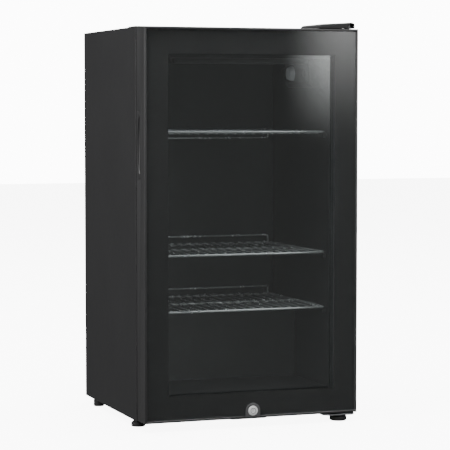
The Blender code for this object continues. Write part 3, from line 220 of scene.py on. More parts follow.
class DoorSettings(bpy.types.PropertyGroup):
    """Frame, panes and printed border."""

    plastic: bpy.props.FloatVectorProperty(
        name="Frame", description="Colour of the door's profiles", size=4, subtype="COLOR",
        default=(0.045, 0.045, 0.046, 1.0))
    print_colour: bpy.props.FloatVectorProperty(
        name="Print", description="Colour of the border printed on the pane", size=4,
        subtype="COLOR", default=(0.006, 0.006, 0.0062, 1.0))
    window_half_width: bpy.props.FloatProperty(
        name="Window half width", description="Half the width of the clear window", default=0.185,
        unit="LENGTH", min=0.05)
    window_low: bpy.props.FloatProperty(
        name="Window low", description="Lower edge of the clear window", default=0.0735,
        unit="LENGTH")
    window_high: bpy.props.FloatProperty(
        name="Window high", description="Upper edge of the clear window", default=0.7785,
        unit="LENGTH")
    edge_rounding: bpy.props.FloatProperty(
        name="Edge rounding", description="Rounding of moulded edges", default=0.0005,
        unit="LENGTH", min=0)


class ShelfSettings(bpy.types.PropertyGroup):
    """Wire shelves."""

    rod_radius: bpy.props.FloatProperty(
        name="Rod radius", description="Radius of the frame rods", default=0.0025, unit="LENGTH")
    wire_radius: bpy.props.FloatProperty(
        name="Wire radius", description="Radius of the cross wires", default=0.0015, unit="LENGTH")
    pitch: bpy.props.FloatProperty(
        name="Pitch", description="Distance between cross wires", default=0.0208, unit="LENGTH")
    bend: bpy.props.FloatProperty(
        name="Bend", description="Bend radius at the shelf's corners", default=0.009, unit="LENGTH")


# ---------------------------------------------------------------- node groups

def new_group(name, inputs, outputs):
    """An empty shader node group with named sockets, and its two end nodes."""
    group = bpy.data.node_groups.new(name, "ShaderNodeTree")
    for label, kind, value in inputs:
        socket = group.interface.new_socket(name=label, in_out="INPUT", socket_type=kind)
        socket.default_value = value
    for label, kind in outputs:
        group.interface.new_socket(name=label, in_out="OUTPUT", socket_type=kind)
    start = group.nodes.new("NodeGroupInput")
    end = group.nodes.new("NodeGroupOutput")
    return group, start, end


def add_node(tree, kind, **values):
    """A node with its properties and input values set."""
    node = tree.nodes.new(kind)
    for key, value in values.items():
        if key in node.inputs:
            node.inputs[key].default_value = value
        else:
            setattr(node, key, value)
    return node


def surface_group():
    """Grain, slow drift and handling marks: a colour, a roughness and a height over the surface."""
    known = bpy.data.node_groups.get("moulded_surface")
    if known is not None:
        return known
    group, start, end = new_group(
        "moulded_surface",
        [("Colour", "NodeSocketColor", (0.5, 0.5, 0.5, 1)),
         ("Lighter", "NodeSocketColor", (0.6, 0.6, 0.6, 1)),
         ("Grain Scale", "NodeSocketFloat", 900.0), ("Grain Mix", "NodeSocketFloat", 0.3),
         ("Drift Scale", "NodeSocketFloat", 7.0), ("Smooth", "NodeSocketFloat", 0.3),
         ("Rough", "NodeSocketFloat", 0.5)],
        [("Colour", "NodeSocketColor"), ("Roughness", "NodeSocketFloat"),
         ("Height", "NodeSocketFloat")])
    link = group.links.new
    place = add_node(group, "ShaderNodeTexCoord")
    grain = add_node(group, "ShaderNodeTexNoise", Detail=3.0, Roughness=0.6)
    drift = add_node(group, "ShaderNodeTexNoise", Detail=4.0, Roughness=0.55)
    blend = add_node(group, "ShaderNodeMix", data_type="FLOAT")
    colour = add_node(group, "ShaderNodeMix", data_type="RGBA")
    rough = add_node(group, "ShaderNodeMapRange", **NOISE_RANGE)
    link(place.outputs["Object"], grain.inputs["Vector"])
    link(place.outputs["Object"], drift.inputs["Vector"])
    link(start.outputs["Grain Scale"], grain.inputs["Scale"])
    link(start.outputs["Drift Scale"], drift.inputs["Scale"])
    link(start.outputs["Grain Mix"], blend.inputs[0])
    link(drift.outputs["Fac"], blend.inputs[2])
    link(grain.outputs["Fac"], blend.inputs[3])
    link(blend.outputs[0], colour.inputs[0])
    link(start.outputs["Colour"], colour.inputs[6])
    link(start.outputs["Lighter"], colour.inputs[7])
    link(drift.outputs["Fac"], rough.inputs["Value"])
    link(start.outputs["Smooth"], rough.inputs["To Min"])
    link(start.outputs["Rough"], rough.inputs["To Max"])
    link(colour.outputs[2], end.inputs["Colour"])
    link(rough.outputs["Result"], end.inputs["Roughness"])
    link(grain.outputs["Fac"], end.inputs["Height"])
    return group


def drawn_group():
    """Fine lines along one direction, as drawn or brushed metal has."""
    known = bpy.data.node_groups.get("drawn_metal")
    if known is not None:
        return known
    group, start, end = new_group(
        "drawn_metal",
        [("Colour", "NodeSocketColor", (0.6, 0.6, 0.6, 1)),
         ("Darker", "NodeSocketColor", (0.4, 0.4, 0.4, 1)),
         ("Stretch", "NodeSocketVector", (40, 900, 900)), ("Smooth", "NodeSocketFloat", 0.2),
         ("Rough", "NodeSocketFloat", 0.45)],
        [("Colour", "NodeSocketColor"), ("Roughness", "NodeSocketFloat"),
         ("Height", "NodeSocketFloat")])
    link = group.links.new
    place = add_node(group, "ShaderNodeTexCoord")
    stretch = add_node(group, "ShaderNodeVectorMath", operation="MULTIPLY")
    lines = add_node(group, "ShaderNodeTexNoise", Scale=1.0, Detail=3.0, Roughness=0.6)
    cloud = add_node(group, "ShaderNodeTexNoise", Scale=CLOUD_SCALE, Detail=4.0, Roughness=0.6)
    blend = add_node(group, "ShaderNodeMix", data_type="FLOAT")
    blend.inputs[0].default_value = LINE_SHARE
    colour = add_node(group, "ShaderNodeMix", data_type="RGBA")
    rough = add_node(group, "ShaderNodeMapRange", **NOISE_RANGE)
    link(place.outputs["Object"], stretch.inputs[0])
    link(start.outputs["Stretch"], stretch.inputs[1])
    link(stretch.outputs[0], lines.inputs["Vector"])
    link(place.outputs["Object"], cloud.inputs["Vector"])
    link(cloud.outputs["Fac"], blend.inputs[2])
    link(lines.outputs["Fac"], blend.inputs[3])
    link(blend.outputs[0], colour.inputs[0])
    link(start.outputs["Colour"], colour.inputs[6])
    link(start.outputs["Darker"], colour.inputs[7])
    link(blend.outputs[0], rough.inputs["Value"])
    link(start.outputs["Smooth"], rough.inputs["To Min"])
    link(start.outputs["Rough"], rough.inputs["To Max"])
    link(colour.outputs[2], end.inputs["Colour"])
    link(rough.outputs["Result"], end.inputs["Roughness"])
    link(lines.outputs["Fac"], end.inputs["Height"])
    return group


# ---------------------------------------------------------------- materials

def grey(value):
    """A neutral colour."""
    return (value, value, value * 1.02, 1.0)


def lighter(colour, factor):
    """The same colour, brighter or darker by a factor."""
    return tuple(min(1.0, channel * factor) for channel in colour[:3]) + (1.0,)


def grouped_material(name, group, values, bump, constants):
    """A material whose colour, roughness and bump come from a node group."""
    material = bpy.data.materials.new(name)
    material.use_nodes = True
    tree = material.node_tree
    shader = tree.nodes["Principled BSDF"]
    surface = tree.nodes.new("ShaderNodeGroup")
    surface.node_tree = group
    for label, value in values.items():
        surface.inputs[label].default_value = value
    tree.links.new(surface.outputs["Colour"], shader.inputs["Base Color"])
    tree.links.new(surface.outputs["Roughness"], shader.inputs["Roughness"])
    bump_node = tree.nodes.new("ShaderNodeBump")
    bump_node.inputs["Distance"].default_value = bump
    tree.links.new(surface.outputs["Height"], bump_node.inputs["Height"])
    tree.links.new(bump_node.outputs["Normal"], shader.inputs["Normal"])
    for label, value in constants.items():
        shader.inputs[label].default_value = value
    return material


def moulded(name, colour, spread=1.35, scale=900.0, mix=0.35, drift=7.0, smooth=0.35, rough=0.5,
            bump=0.00003, **constants):
    """A painted, moulded or rubber finish."""
    values = {
        "Colour": lighter(colour, 1 / spread ** 0.5), "Lighter": lighter(colour, spread ** 0.5),
        "Grain Scale": scale, "Grain Mix": mix, "Drift Scale": drift,
        "Smooth": smooth, "Rough": rough,
    }
    return grouped_material(name, surface_group(), values, bump, constants)


def metal(name, colour, stretch=(40, 900, 900), spread=1.5, smooth=0.2, rough=0.4, bump=0.00001,
          metallic=1.0):
    """A bare, plated or drawn metal; a duller plating is less metallic. A near-white colour with no
    metallic paints a chrome's sheen into its colour.
    """
    values = {"Colour": colour, "Darker": lighter(colour, 1 / spread), "Stretch": stretch,
              "Smooth": smooth, "Rough": rough}
    return grouped_material(name, drawn_group(), values, bump, {"Metallic": metallic})


def make_materials():
    """Every finish of the refrigerator, by name."""
    cabinet = bpy.context.scene.refrigerator_cabinet
    door = bpy.context.scene.refrigerator_door
    coat = {"Coat Weight": 0.25, "Coat Roughness": 0.25}
    # bright is a near-white whose brightness is a painted sheen for the lock's and the pins' chrome
    steel, chrome, bright = (0.52, 0.53, 0.55, 1), (0.90, 0.90, 0.92, 1), (0.98, 0.98, 0.98, 1)
    foam, pipe, rolled = (0.72, 0.60, 0.34, 1), (0.70, 0.35, 0.20, 1), (0.74, 0.75, 0.76, 1)
    strip = (0.25, 0.25, 0.26, 1)
    return {
        # name, colour, spread, grain scale, grain mix, drift scale, smooth, rough, bump
        "paint": moulded("painted steel", cabinet.paint, 1.25, 700, 0.6, 5, 0.42, 0.55, 0.00006),
        "frame_plastic": moulded(
            "door profile plastic", door.plastic, 1.2, 1100, 0.4, 6, 0.34, 0.46),
        "plastic": moulded("black plastic", grey(0.040), 1.3, 1200, 0.5, 9, 0.36, 0.5),
        "liner": moulded("formed liner", cabinet.liner, 1.2, 300, 0.3, 4, 0.36, 0.42, 0.000004),
        "print": moulded("printed border", door.print_colour, 1.1, 400, 0.3, 3, 0.5, 0.6, 0.0),
        "bezel": moulded("bezel plastic", grey(0.11), 1.2, 1200, 0.4, 9, 0.3, 0.42),
        "rubber": moulded("foot rubber", grey(0.022), 1.5, 1500, 0.6, 25, 0.62, 0.82, 0.00008),
        "gasket": moulded("gasket rubber", grey(0.016), 1.3, 900, 0.4, 20, 0.5, 0.68),
        "enamel": moulded(
            "compressor enamel", grey(0.016), 1.4, 500, 0.4, 18, 0.22, 0.4, 0.00008, **coat),
        "white": moulded("white plastic", grey(0.66), 1.12, 900, 0.4, 14, 0.35, 0.5),
        "foam": moulded("rigid foam", foam, 1.5, 420, 0.6, 30, 0.85, 0.97, 0.0004),
        # name, colour, stretch of the lines, spread, smooth, rough, bump, metallic
        "zinc": metal("plated steel", steel, (60, 700, 700), 1.4, 0.26, 0.46),
        "chrome": metal("chrome wire", chrome, (300, 300, 300), 1.15, 0.2, 0.3, 0.0, 0.7),
        # Chrome of the lock and the pins: near-white with no metallic, a painted sheen in place of
        # the chrome's mirrored light
        "chrome_painted_sheen": metal("chrome with painted sheen", bright, (500, 500, 500), 1.05, 0.3, 0.42, 0.0, 0.0),
        "copper": metal("copper pipe", pipe, (90, 90, 90), 1.7, 0.22, 0.45),
        "aluminium": metal("rolled aluminium", rolled, (30, 700, 700), 1.3, 0.25, 0.45),
        "spacer": metal("spacer strip", strip, (400, 400, 400), 1.3, 0.3, 0.45),
        "glass": glass_material("clear glass", GLASS_INDEX),
        "coated_glass": glass_material("coated glass", COATED_INDEX),
        "lens": lens_material(),
    }


def glass_material(name, index):
    """Clear glass that lets light through to what stands behind it."""
    material = moulded(name, GLASS_TINT, 1.01, 12, 0.2, 2)
    tree = material.node_tree
    shader = tree.nodes["Principled BSDF"]
    for label in ("Roughness", "Normal"):
        tree.links.remove(shader.inputs[label].links[0])
    shader.inputs["Roughness"].default_value = 0.0
    shader.inputs["Transmission Weight"].default_value = 1.0
    shader.inputs["IOR"].default_value = index
    rays = add_node(tree, "ShaderNodeLightPath")
    clear = add_node(tree, "ShaderNodeBsdfTransparent", Color=GLASS_SHADOW)
    mix = add_node(tree, "ShaderNodeMixShader")
    tree.links.new(rays.outputs["Is Shadow Ray"], mix.inputs["Fac"])
    tree.links.new(shader.outputs[0], mix.inputs[1])
    tree.links.new(clear.outputs[0], mix.inputs[2])
    tree.links.new(mix.outputs[0], tree.nodes["Material Output"].inputs["Surface"])
    return material


def lens_material():
    """Frosted lens, faintly lit from within."""
    material = moulded("light lens", (0.8, 0.86, 0.95, 1), 1.1, 300, 0.3, 20, 0.3, 0.45)
    tree = material.node_tree
    shader = tree.nodes["Principled BSDF"]
    group = next(node for node in tree.nodes if node.bl_idname == "ShaderNodeGroup")
    tree.links.new(group.outputs["Colour"], shader.inputs["Emission Color"])
    shader.inputs["Emission Strength"].default_value = LENS_GLOW
    return material


MATERIALS = {}


def paint_node(node, finish):
    """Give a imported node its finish."""
    mesh = frame["nodes"][node].data
    mesh.materials.clear()
    mesh.materials.append(MATERIALS[finish])


# ---------------------------------------------------------------- mesh helpers

def finish_piece(name, shape, finish, body, replaces=(), smooth=SOFT_ANGLE):
    """Turn a bmesh into a piece that rides on a body."""
    mesh = bpy.data.meshes.new(name)
    shape.to_mesh(mesh)
    shape.free()
    mesh.shade_smooth()
    mesh.set_sharp_from_angle(angle=radians(smooth))
    mesh.materials.append(MATERIALS[finish])
    piece = bpy.data.objects.new(name, mesh)
    bpy.context.scene.collection.objects.link(piece)
    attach(piece, body)
    if replaces:
        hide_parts(*replaces)


def refine(node, finish, rounding, segments=2, smooth=SOFT_ANGLE):
    """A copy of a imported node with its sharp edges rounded, which stands for it."""
    shape = bmesh.new()
    shape.from_mesh(frame["nodes"][node].data)
    bmesh.ops.remove_doubles(shape, verts=shape.verts, dist=MERGE_DISTANCE)
    bmesh.ops.dissolve_limit(
        shape, angle_limit=radians(FLAT_ANGLE), verts=shape.verts, edges=shape.edges,
        use_dissolve_boundaries=False)
    if rounding > 0:
        sharp = [edge for edge in shape.edges
                 if len(edge.link_faces) == 2 and edge.calc_face_angle() > radians(SHARP_ANGLE)]
        bmesh.ops.bevel(
            shape, geom=sharp, offset=rounding, offset_type="OFFSET", affect="EDGES",
            segments=segments, profile=0.5, material=-1, clamp_overlap=True)
    body = frame["nodes"][node]["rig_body"]
    finish_piece(f"{node}_finished", shape, finish, body, (node,), smooth)


def sort_elements(shape):
    """Order points and faces by place, because a triangle fill orders them differently each run."""
    for elements, place in ((shape.verts, lambda vert: tuple(vert.co)),
                            (shape.faces, lambda face: tuple(face.calc_center_median()))):
        for index, element in enumerate(sorted(elements, key=place)):
            element.index = index
        elements.sort()


def add_tube(shape, points, radius, sides, closed=False):
    """A round tube through points, capped unless it closes on itself."""
    points = [Vector(point) for point in points]
    count = len(points)
    rings = []
    for k, point in enumerate(points):
        if closed:
            before, after = points[k - 1], points[(k + 1) % count]
        else:
            before, after = points[max(k - 1, 0)], points[min(k + 1, count - 1)]
        turn = (after - before).to_track_quat("Z", "Y").to_matrix().to_4x4()
        made = bmesh.ops.create_circle(
            shape, cap_ends=False, segments=sides, radius=radius,
            matrix=Matrix.Translation(point) @ turn)["verts"]
        rings.append(list({edge for vert in made for edge in vert.link_edges}))
    pairs = list(zip(rings, rings[1:]))
    if closed:
        pairs.append((rings[-1], rings[0]))
    for first, second in pairs:
        bmesh.ops.bridge_loops(shape, edges=first + second)
    if not closed:
        for ring in (rings[0], rings[-1]):
            bmesh.ops.contextual_create(shape, geom=ring)
    bmesh.ops.recalc_face_normals(shape, faces=shape.faces)


def bent_route(corners, bend, closed=False, steps=5):
    """Points along straight runs whose corners are bent round."""
    corners = [Vector(corner) for corner in corners]
    count = len(corners)
    route = []
    for k, corner in enumerate(corners):
        if not closed and k in (0, count - 1):
            route.append(corner)
            continue
        before, after = corners[k - 1], corners[(k + 1) % count]
        enter = corner + (before - corner).normalized() * bend
        leave = corner + (after - corner).normalized() * bend
        for step in range(steps + 1):
            t = step / steps
            route.append(enter * (1 - t) ** 2 + corner * 2 * t * (1 - t) + leave * t ** 2)
    return route


def add_screw(shape, centre, direction, radius, height):
    """A round screw head with a recess in its top."""
    turn = Vector(direction).to_track_quat("Z", "Y").to_matrix().to_4x4()
    made = bmesh.ops.create_cone(
        shape, cap_ends=True, segments=SCREW_SIDES, radius1=radius, radius2=radius * HEAD_TAPER,
        depth=height,
        matrix=Matrix.Translation(Vector(centre) + Vector(direction) * height / 2) @ turn)["verts"]
    faces = {face for vert in made for face in vert.link_faces}
    top = max(faces, key=lambda face: face.calc_center_median().dot(Vector(direction)))
    bmesh.ops.inset_region(
        shape, faces=[top], thickness=radius * RECESS_MARGIN, use_even_offset=True)
    bmesh.ops.inset_region(
        shape, faces=[top], thickness=RECESS_LIP, depth=-height * RECESS_DEPTH)


def door_corners(inset, y):
    """The four corners of a frame at an inset from the door's edges."""
    low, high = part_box("door_stile_left")[0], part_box("door_stile_right")[1]
    left, right = low.x + inset, high.x - inset
    bottom, top = low.z + inset, high.z - inset
    return [Vector(spot) for spot in
            ((left, y, bottom), (right, y, bottom), (right, y, top), (left, y, top))]


def add_frame_loop(shape, section):
    """A mitred frame around the door with a section of (inset, y) points."""
    rings = [[], [], [], []]
    for inset, y in section:
        for ring, corner in zip(rings, door_corners(inset, y)):
            ring.append(shape.verts.new(corner))
    loops = [[shape.edges.new(pair) for pair in zip(ring, ring[1:] + ring[:1])] for ring in rings]
    for k in range(4):
        bmesh.ops.bridge_loops(shape, edges=loops[k] + loops[(k + 1) % 4])
    bmesh.ops.recalc_face_normals(shape, faces=shape.faces)


# ---------------------------------------------------------------- operators

class REFRIGERATOR_OT_stage(bpy.types.Operator):
    """Make the floor, the lights and the camera"""

    bl_idname = "refrigerator.stage"
    bl_label = "Stage"

    def execute(self, context):
        settings = context.scene.refrigerator_stage
        self.floor(settings)
        self.lights(settings)
        self.camera(settings)
        return {"FINISHED"}

    def floor(self, settings):
        """A pale floor with a glow of its own, which the glass doesn't mirror."""
        shape = bmesh.new()
        bmesh.ops.create_grid(shape, x_segments=1, y_segments=1, size=FLOOR_HALF)
        mesh = bpy.data.meshes.new("studio_floor")
        shape.to_mesh(mesh)
        shape.free()
        material = moulded(
            "studio floor", settings.floor_colour, 1.02, 60, 0.2, 0.6, 0.7, 0.85, 0.0)
        shader = material.node_tree.nodes["Principled BSDF"]
        shader.inputs["Emission Color"].default_value = WHITE
        shader.inputs["Emission Strength"].default_value = settings.floor_glow
        mesh.materials.append(material)
        floor = bpy.data.objects.new("studio_floor", mesh)
        floor.visible_glossy = False
        floor.visible_diffuse = False
        floor.visible_transmission = False
        bpy.context.scene.collection.objects.link(floor)

    def lights(self, settings):
        """Three soft area lights, the world and the mirrored card."""
        self.world(settings)
        spots = {
            "key_light": (KEY_PLACE, KEY_SIZE, settings.key_power),
            "fill_light": (FILL_PLACE, FILL_SIZE, settings.key_power * FILL_SHARE),
            "top_light": (TOP_PLACE, TOP_SIZE, settings.top_power),
        }
        for name, (place, size, power) in spots.items():
            light = bpy.data.lights.new(name, "AREA")
            light.size = size
            light.energy = power
            lamp = bpy.data.objects.new(name, light)
            lamp.location = place
            aim = Vector(AIM_POINT) - Vector(place)
            lamp.rotation_euler = aim.to_track_quat("-Z", "Y").to_euler()
            bpy.context.scene.collection.objects.link(lamp)
        self.card(settings)

    def world(self, settings):
        """A white backdrop for the camera and a dimmer soft light for everything else."""
        world = bpy.data.worlds.new("studio")
        world.use_nodes = True
        tree = world.node_tree
        ambient = tree.nodes["Background"]
        ambient.inputs["Color"].default_value = WHITE
        ambient.inputs["Strength"].default_value = settings.ambient
        backdrop = add_node(
            tree, "ShaderNodeBackground", Color=WHITE, Strength=settings.backdrop)
        rays = add_node(tree, "ShaderNodeLightPath")
        mix = add_node(tree, "ShaderNodeMixShader")
        tree.links.new(rays.outputs["Is Camera Ray"], mix.inputs["Fac"])
        tree.links.new(ambient.outputs[0], mix.inputs[1])
        tree.links.new(backdrop.outputs[0], mix.inputs[2])
        tree.links.new(mix.outputs[0], tree.nodes["World Output"].inputs["Surface"])
        bpy.context.scene.world = world

    def card(self, settings):
        """A bright card to the right, which the door's glass mirrors in its top right corner."""
        shape = bmesh.new()
        bmesh.ops.create_grid(
            shape, x_segments=1, y_segments=1, size=CARD_HALF,
            matrix=Matrix.Translation(CARD_PLACE) @ Matrix.Rotation(radians(90), 4, "X"))
        mesh = bpy.data.meshes.new("light_card")
        shape.to_mesh(mesh)
        shape.free()
        material = bpy.data.materials.new("light card")
        material.use_nodes = True
        tree = material.node_tree
        tree.nodes.clear()
        place = add_node(tree, "ShaderNodeTexCoord")
        apart = add_node(tree, "ShaderNodeSeparateXYZ")
        across = add_node(
            tree, "ShaderNodeMapRange", interpolation_type="SMOOTHSTEP", **CARD_ACROSS)
        upward = add_node(tree, "ShaderNodeMapRange", **CARD_UPWARD)
        fade = add_node(tree, "ShaderNodeMath", operation="POWER")
        fade.inputs[1].default_value = CARD_FADE
        both = add_node(tree, "ShaderNodeMath", operation="MULTIPLY")
        power = add_node(tree, "ShaderNodeMath", operation="MULTIPLY")
        power.inputs[1].default_value = settings.card_strength
        glow = add_node(tree, "ShaderNodeEmission")
        clear = add_node(tree, "ShaderNodeBsdfTransparent")
        total = add_node(tree, "ShaderNodeAddShader")
        output = add_node(tree, "ShaderNodeOutputMaterial")
        link = tree.links.new
        link(place.outputs["Object"], apart.inputs[0])
        link(apart.outputs["X"], across.inputs["Value"])
        link(apart.outputs["Z"], upward.inputs["Value"])
        link(upward.outputs["Result"], fade.inputs[0])
        link(across.outputs["Result"], both.inputs[0])
        link(fade.outputs[0], both.inputs[1])
        link(both.outputs[0], power.inputs[0])
        link(power.outputs[0], glow.inputs["Strength"])
        link(glow.outputs[0], total.inputs[0])
        link(clear.outputs[0], total.inputs[1])
        link(total.outputs[0], output.inputs["Surface"])
        mesh.materials.append(material)
        card = bpy.data.objects.new("light_card", mesh)
        card.visible_camera = False
        card.visible_shadow = False
        bpy.context.scene.collection.objects.link(card)

    def camera(self, settings):
        """The camera, at its place and turn."""
        data = bpy.data.cameras.new("camera")
        data.lens = settings.lens
        data.sensor_width = SENSOR_WIDTH
        camera = bpy.data.objects.new("camera", data)
        camera.location = settings.camera_place
        camera.rotation_euler = settings.camera_turn
        bpy.context.scene.collection.objects.link(camera)
        bpy.context.scene.camera = camera


class REFRIGERATOR_OT_cabinet(bpy.types.Operator):
    """Make the painted steel shell and the strip along its front edge"""

    bl_idname = "refrigerator.cabinet"
    bl_label = "Cabinet"

    def execute(self, context):
        for node in ("side_panel_left", "side_panel_right"):
            refine(node, "paint", NO_ROUNDING)
        for node in ("top_panel", "bottom_panel"):
            paint_node(node, "paint")
        for node in ("back_panel", "compressor_bay_panel", "base_member"):
            paint_node(node, "zinc")
        refine("top_front_trim", "plastic", FINE_EDGE)
        paint_node("foam_insulation", "foam")
        return {"FINISHED"}


class REFRIGERATOR_OT_liner(bpy.types.Operator):
    """Make the formed liner with rounded edges"""

    bl_idname = "refrigerator.liner"
    bl_label = "Liner"

    def execute(self, context):
        rounding = context.scene.refrigerator_cabinet.liner_rounding
        refine("inner_liner", "liner", rounding, segments=3)
        return {"FINISHED"}


class REFRIGERATOR_OT_shelves(bpy.types.Operator):
    """Make the three shelves of round plated wire"""

    bl_idname = "refrigerator.shelves"
    bl_label = "Shelves"

    def execute(self, context):
        for node, up in SHELVES.items():
            self.shelf(node, up, context.scene.refrigerator_shelf)
        return {"FINISHED"}

    def shelf(self, node, up, settings):
        """One shelf: a bent frame rod, a middle rod, the cross wires and the stop rail."""
        low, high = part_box(node)
        rod, wire = settings.rod_radius, settings.wire_radius
        level = low.z + rod if up > 0 else high.z - rod
        left, right = low.x + rod, high.x - rod
        front, back = low.y + rod, high.y - rod
        shape = bmesh.new()
        corners = [
            (left, front, level), (right, front, level), (right, back, level), (left, back, level)]
        frame_route = bent_route(corners, settings.bend, closed=True)
        add_tube(shape, frame_route, rod, ROD_SIDES, closed=True)
        middle = (front + back) / 2
        add_tube(shape, [(left, middle, level), (right, middle, level)], rod, ROD_SIDES)
        wires = int((high.x - low.x) / settings.pitch)
        first = -settings.pitch * (wires - 1) / 2
        wire_level = level + up * (rod + wire - WIRE_BITE)
        wire_front, wire_back = low.y + WIRE_SETBACK, high.y - WIRE_SETBACK
        for k in range(wires):
            x = first + k * settings.pitch
            ends = [(x, wire_front, wire_level), (x, wire_back, wire_level)]
            add_tube(shape, ends, wire, WIRE_SIDES)
        reach = right - RAIL_INSET
        tip = high.z - RAIL_RADIUS if up > 0 else low.z + RAIL_RADIUS
        rail_y = back - RAIL_FORWARD
        posts = [(-reach, rail_y, level), (-reach, rail_y, tip),
                 (reach, rail_y, tip), (reach, rail_y, level)]
        add_tube(shape, bent_route(posts, RAIL_BEND), RAIL_RADIUS, RAIL_SIDES)
        finish_piece(f"{node}_wires", shape, "chrome", node, (node,), 50)


class REFRIGERATOR_OT_door_frame(bpy.types.Operator):
    """Make the door's profiles, its finger grip and its pin bushes"""

    bl_idname = "refrigerator.door_frame"
    bl_label = "Door frame"

    def execute(self, context):
        rounding = context.scene.refrigerator_door.edge_rounding
        for node in DOOR_BARS:
            refine(node, "frame_plastic", rounding)
        refine("grip_insert", "plastic", FINE_EDGE, smooth=45)
        for node in ("door_bush_top", "door_bush_bottom"):
            paint_node(node, "white")
        return {"FINISHED"}


class REFRIGERATOR_OT_glazing(bpy.types.Operator):
    """Make the panes, the spacer and the printed border behind the outer pane"""

    bl_idname = "refrigerator.glazing"
    bl_label = "Glazing"

    def execute(self, context):
        paint_node("outer_glass", "glass")
        paint_node("inner_glass", "coated_glass")
        paint_node("glazing_spacer", "spacer")
        self.border(context.scene.refrigerator_door)
        return {"FINISHED"}

    def border(self, settings):
        """A thin printed film with the clear window and the lock's arch left out."""
        y = GLASS_HIGH.y + PRINT_OFFSET
        left, right = GLASS_LOW.x + GAP, GLASS_HIGH.x - GAP
        low, high = GLASS_LOW.z + GAP, GLASS_HIGH.z - GAP
        plate_low, plate_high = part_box("lock_bezel")
        arch = (plate_high.x - plate_low.x) / 2 + GAP
        centre = plate_high.z - (plate_high.x - plate_low.x) / 2
        angles = [pi * k / ARCH_STEPS for k in range(ARCH_STEPS, -1, -1)]
        notch = [(arch * cos(angle), centre + arch * sin(angle)) for angle in angles]
        outer = [(left, low), (-arch, low), *notch, (arch, low), (right, low), (right, high),
                 (left, high)]
        half = settings.window_half_width
        window = [(-half, settings.window_low), (half, settings.window_low),
                  (half, settings.window_high), (-half, settings.window_high)]
        shape = bmesh.new()
        edges = []
        for outline in (outer, window):
            ring = [shape.verts.new((x, y, z)) for x, z in outline]
            edges += [shape.edges.new(pair) for pair in zip(ring, ring[1:] + ring[:1])]
        bmesh.ops.triangle_fill(shape, use_beauty=True, edges=edges)
        grown = bmesh.ops.extrude_face_region(shape, geom=shape.faces[:])["geom"]
        moved = [item for item in grown if isinstance(item, bmesh.types.BMVert)]
        bmesh.ops.translate(shape, vec=(0, PRINT_THICKNESS, 0), verts=moved)
        bmesh.ops.recalc_face_normals(shape, faces=shape.faces)
        sort_elements(shape)
        finish_piece("printed_border", shape, "print", "door")


class REFRIGERATOR_OT_gasket(bpy.types.Operator):
    """Make the folded magnetic gasket"""

    bl_idname = "refrigerator.gasket"
    bl_label = "Gasket"

    def execute(self, context):
        low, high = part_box("door_gasket")
        inset = low.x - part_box("door_stile_left")[0].x
        face = high.y
        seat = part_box("door_stile_left")[1].y + GAP
        middle = (seat + face) / 2
        outside = inset + GASKET_WIDTH
        section = [
            (inset, seat + SEAT_CHAMFER), (inset + GASKET_FOLD, middle - SEAT_CHAMFER),
            (inset, middle), (inset, face - FACE_CHAMFER), (inset + FACE_CHAMFER, face),
            (outside - FACE_CHAMFER, face), (outside, face - FACE_CHAMFER), (outside, middle),
            (outside - GASKET_FOLD, middle - SEAT_CHAMFER), (outside, seat + SEAT_CHAMFER),
            (outside - SEAT_CHAMFER, seat),
            *((rib_inset, seat - depth) for rib_inset, depth in GASKET_RIB),
            (inset + SEAT_CHAMFER, seat),
        ]
        shape = bmesh.new()
        add_frame_loop(shape, section)
        finish_piece("gasket_folds", shape, "gasket", "door", ("door_gasket",))
        return {"FINISHED"}


class REFRIGERATOR_OT_lock(bpy.types.Operator):
    """Make the lock's plate, barrel, bolt and strike"""

    bl_idname = "refrigerator.lock"
    bl_label = "Lock"

    def execute(self, context):
        refine("lock_bezel", "bezel", METAL_EDGE)
        # the barrel's brightness is a painted sheen, not a metallic reflection
        refine("lock_barrel", "chrome_painted_sheen", TURNED_EDGE)
        refine("lock_bolt", "zinc", METAL_EDGE)
        refine("strike_plate", "zinc", FINE_EDGE)
        self.key_ring()
        return {"FINISHED"}

    def key_ring(self):
        """Dark ring around the key slot on the barrel's face."""
        centre = (BARREL_LOW + BARREL_HIGH) / 2
        shape = bmesh.new()
        angles = [2 * pi * k / KEY_RING_STEPS for k in range(KEY_RING_STEPS)]
        points = [(centre.x + KEY_RING_RADIUS * cos(angle), BARREL_LOW.y + KEY_RING_WIRE,
                   centre.z + KEY_RING_RADIUS * sin(angle)) for angle in angles]
        add_tube(shape, points, KEY_RING_WIRE, KEY_RING_SIDES, closed=True)
        finish_piece("lock_key_ring", shape, "plastic", "lock_barrel", smooth=60)


class REFRIGERATOR_OT_hinges(bpy.types.Operator):
    """Make the hinge brackets, their pins, the washer and the moulded cover"""

    bl_idname = "refrigerator.hinges"
    bl_label = "Hinges"

    def execute(self, context):
        refine("hinge_cover", "frame_plastic", MOULDED_EDGE)
        for node in ("bottom_hinge_bracket", "top_hinge_bracket"):
            refine(node, "zinc", METAL_EDGE)
        for node in ("top_hinge_pin", "bottom_hinge_pin"):
            # the pins' brightness is a painted sheen, not a metallic reflection
            paint_node(node, "chrome_painted_sheen")
        paint_node("hinge_washer", "white")
        self.screws()
        return {"FINISHED"}

    def screws(self):
        """Screw heads under the hinge bracket and the strike plate."""
        shape = bmesh.new()
        places = (
            ("bottom_hinge_bracket", BRACKET_SCREW_LEFT, BRACKET_SCREW_RIGHT, BRACKET_SCREW_RADIUS),
            ("strike_plate", STRIKE_SCREW_INSET, STRIKE_SCREW_INSET, STRIKE_SCREW_RADIUS),
        )
        for node, from_left, from_right, radius in places:
            low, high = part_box(node)
            for x in (low.x + from_left, high.x - from_right):
                centre = (x, high.y - SCREW_SETBACK, low.z)
                add_screw(shape, centre, (0, 0, -1), radius, SCREW_HEIGHT)
        bmesh.ops.recalc_face_normals(shape, faces=shape.faces)
        finish_piece("underside_screws", shape, "zinc", "cabinet")


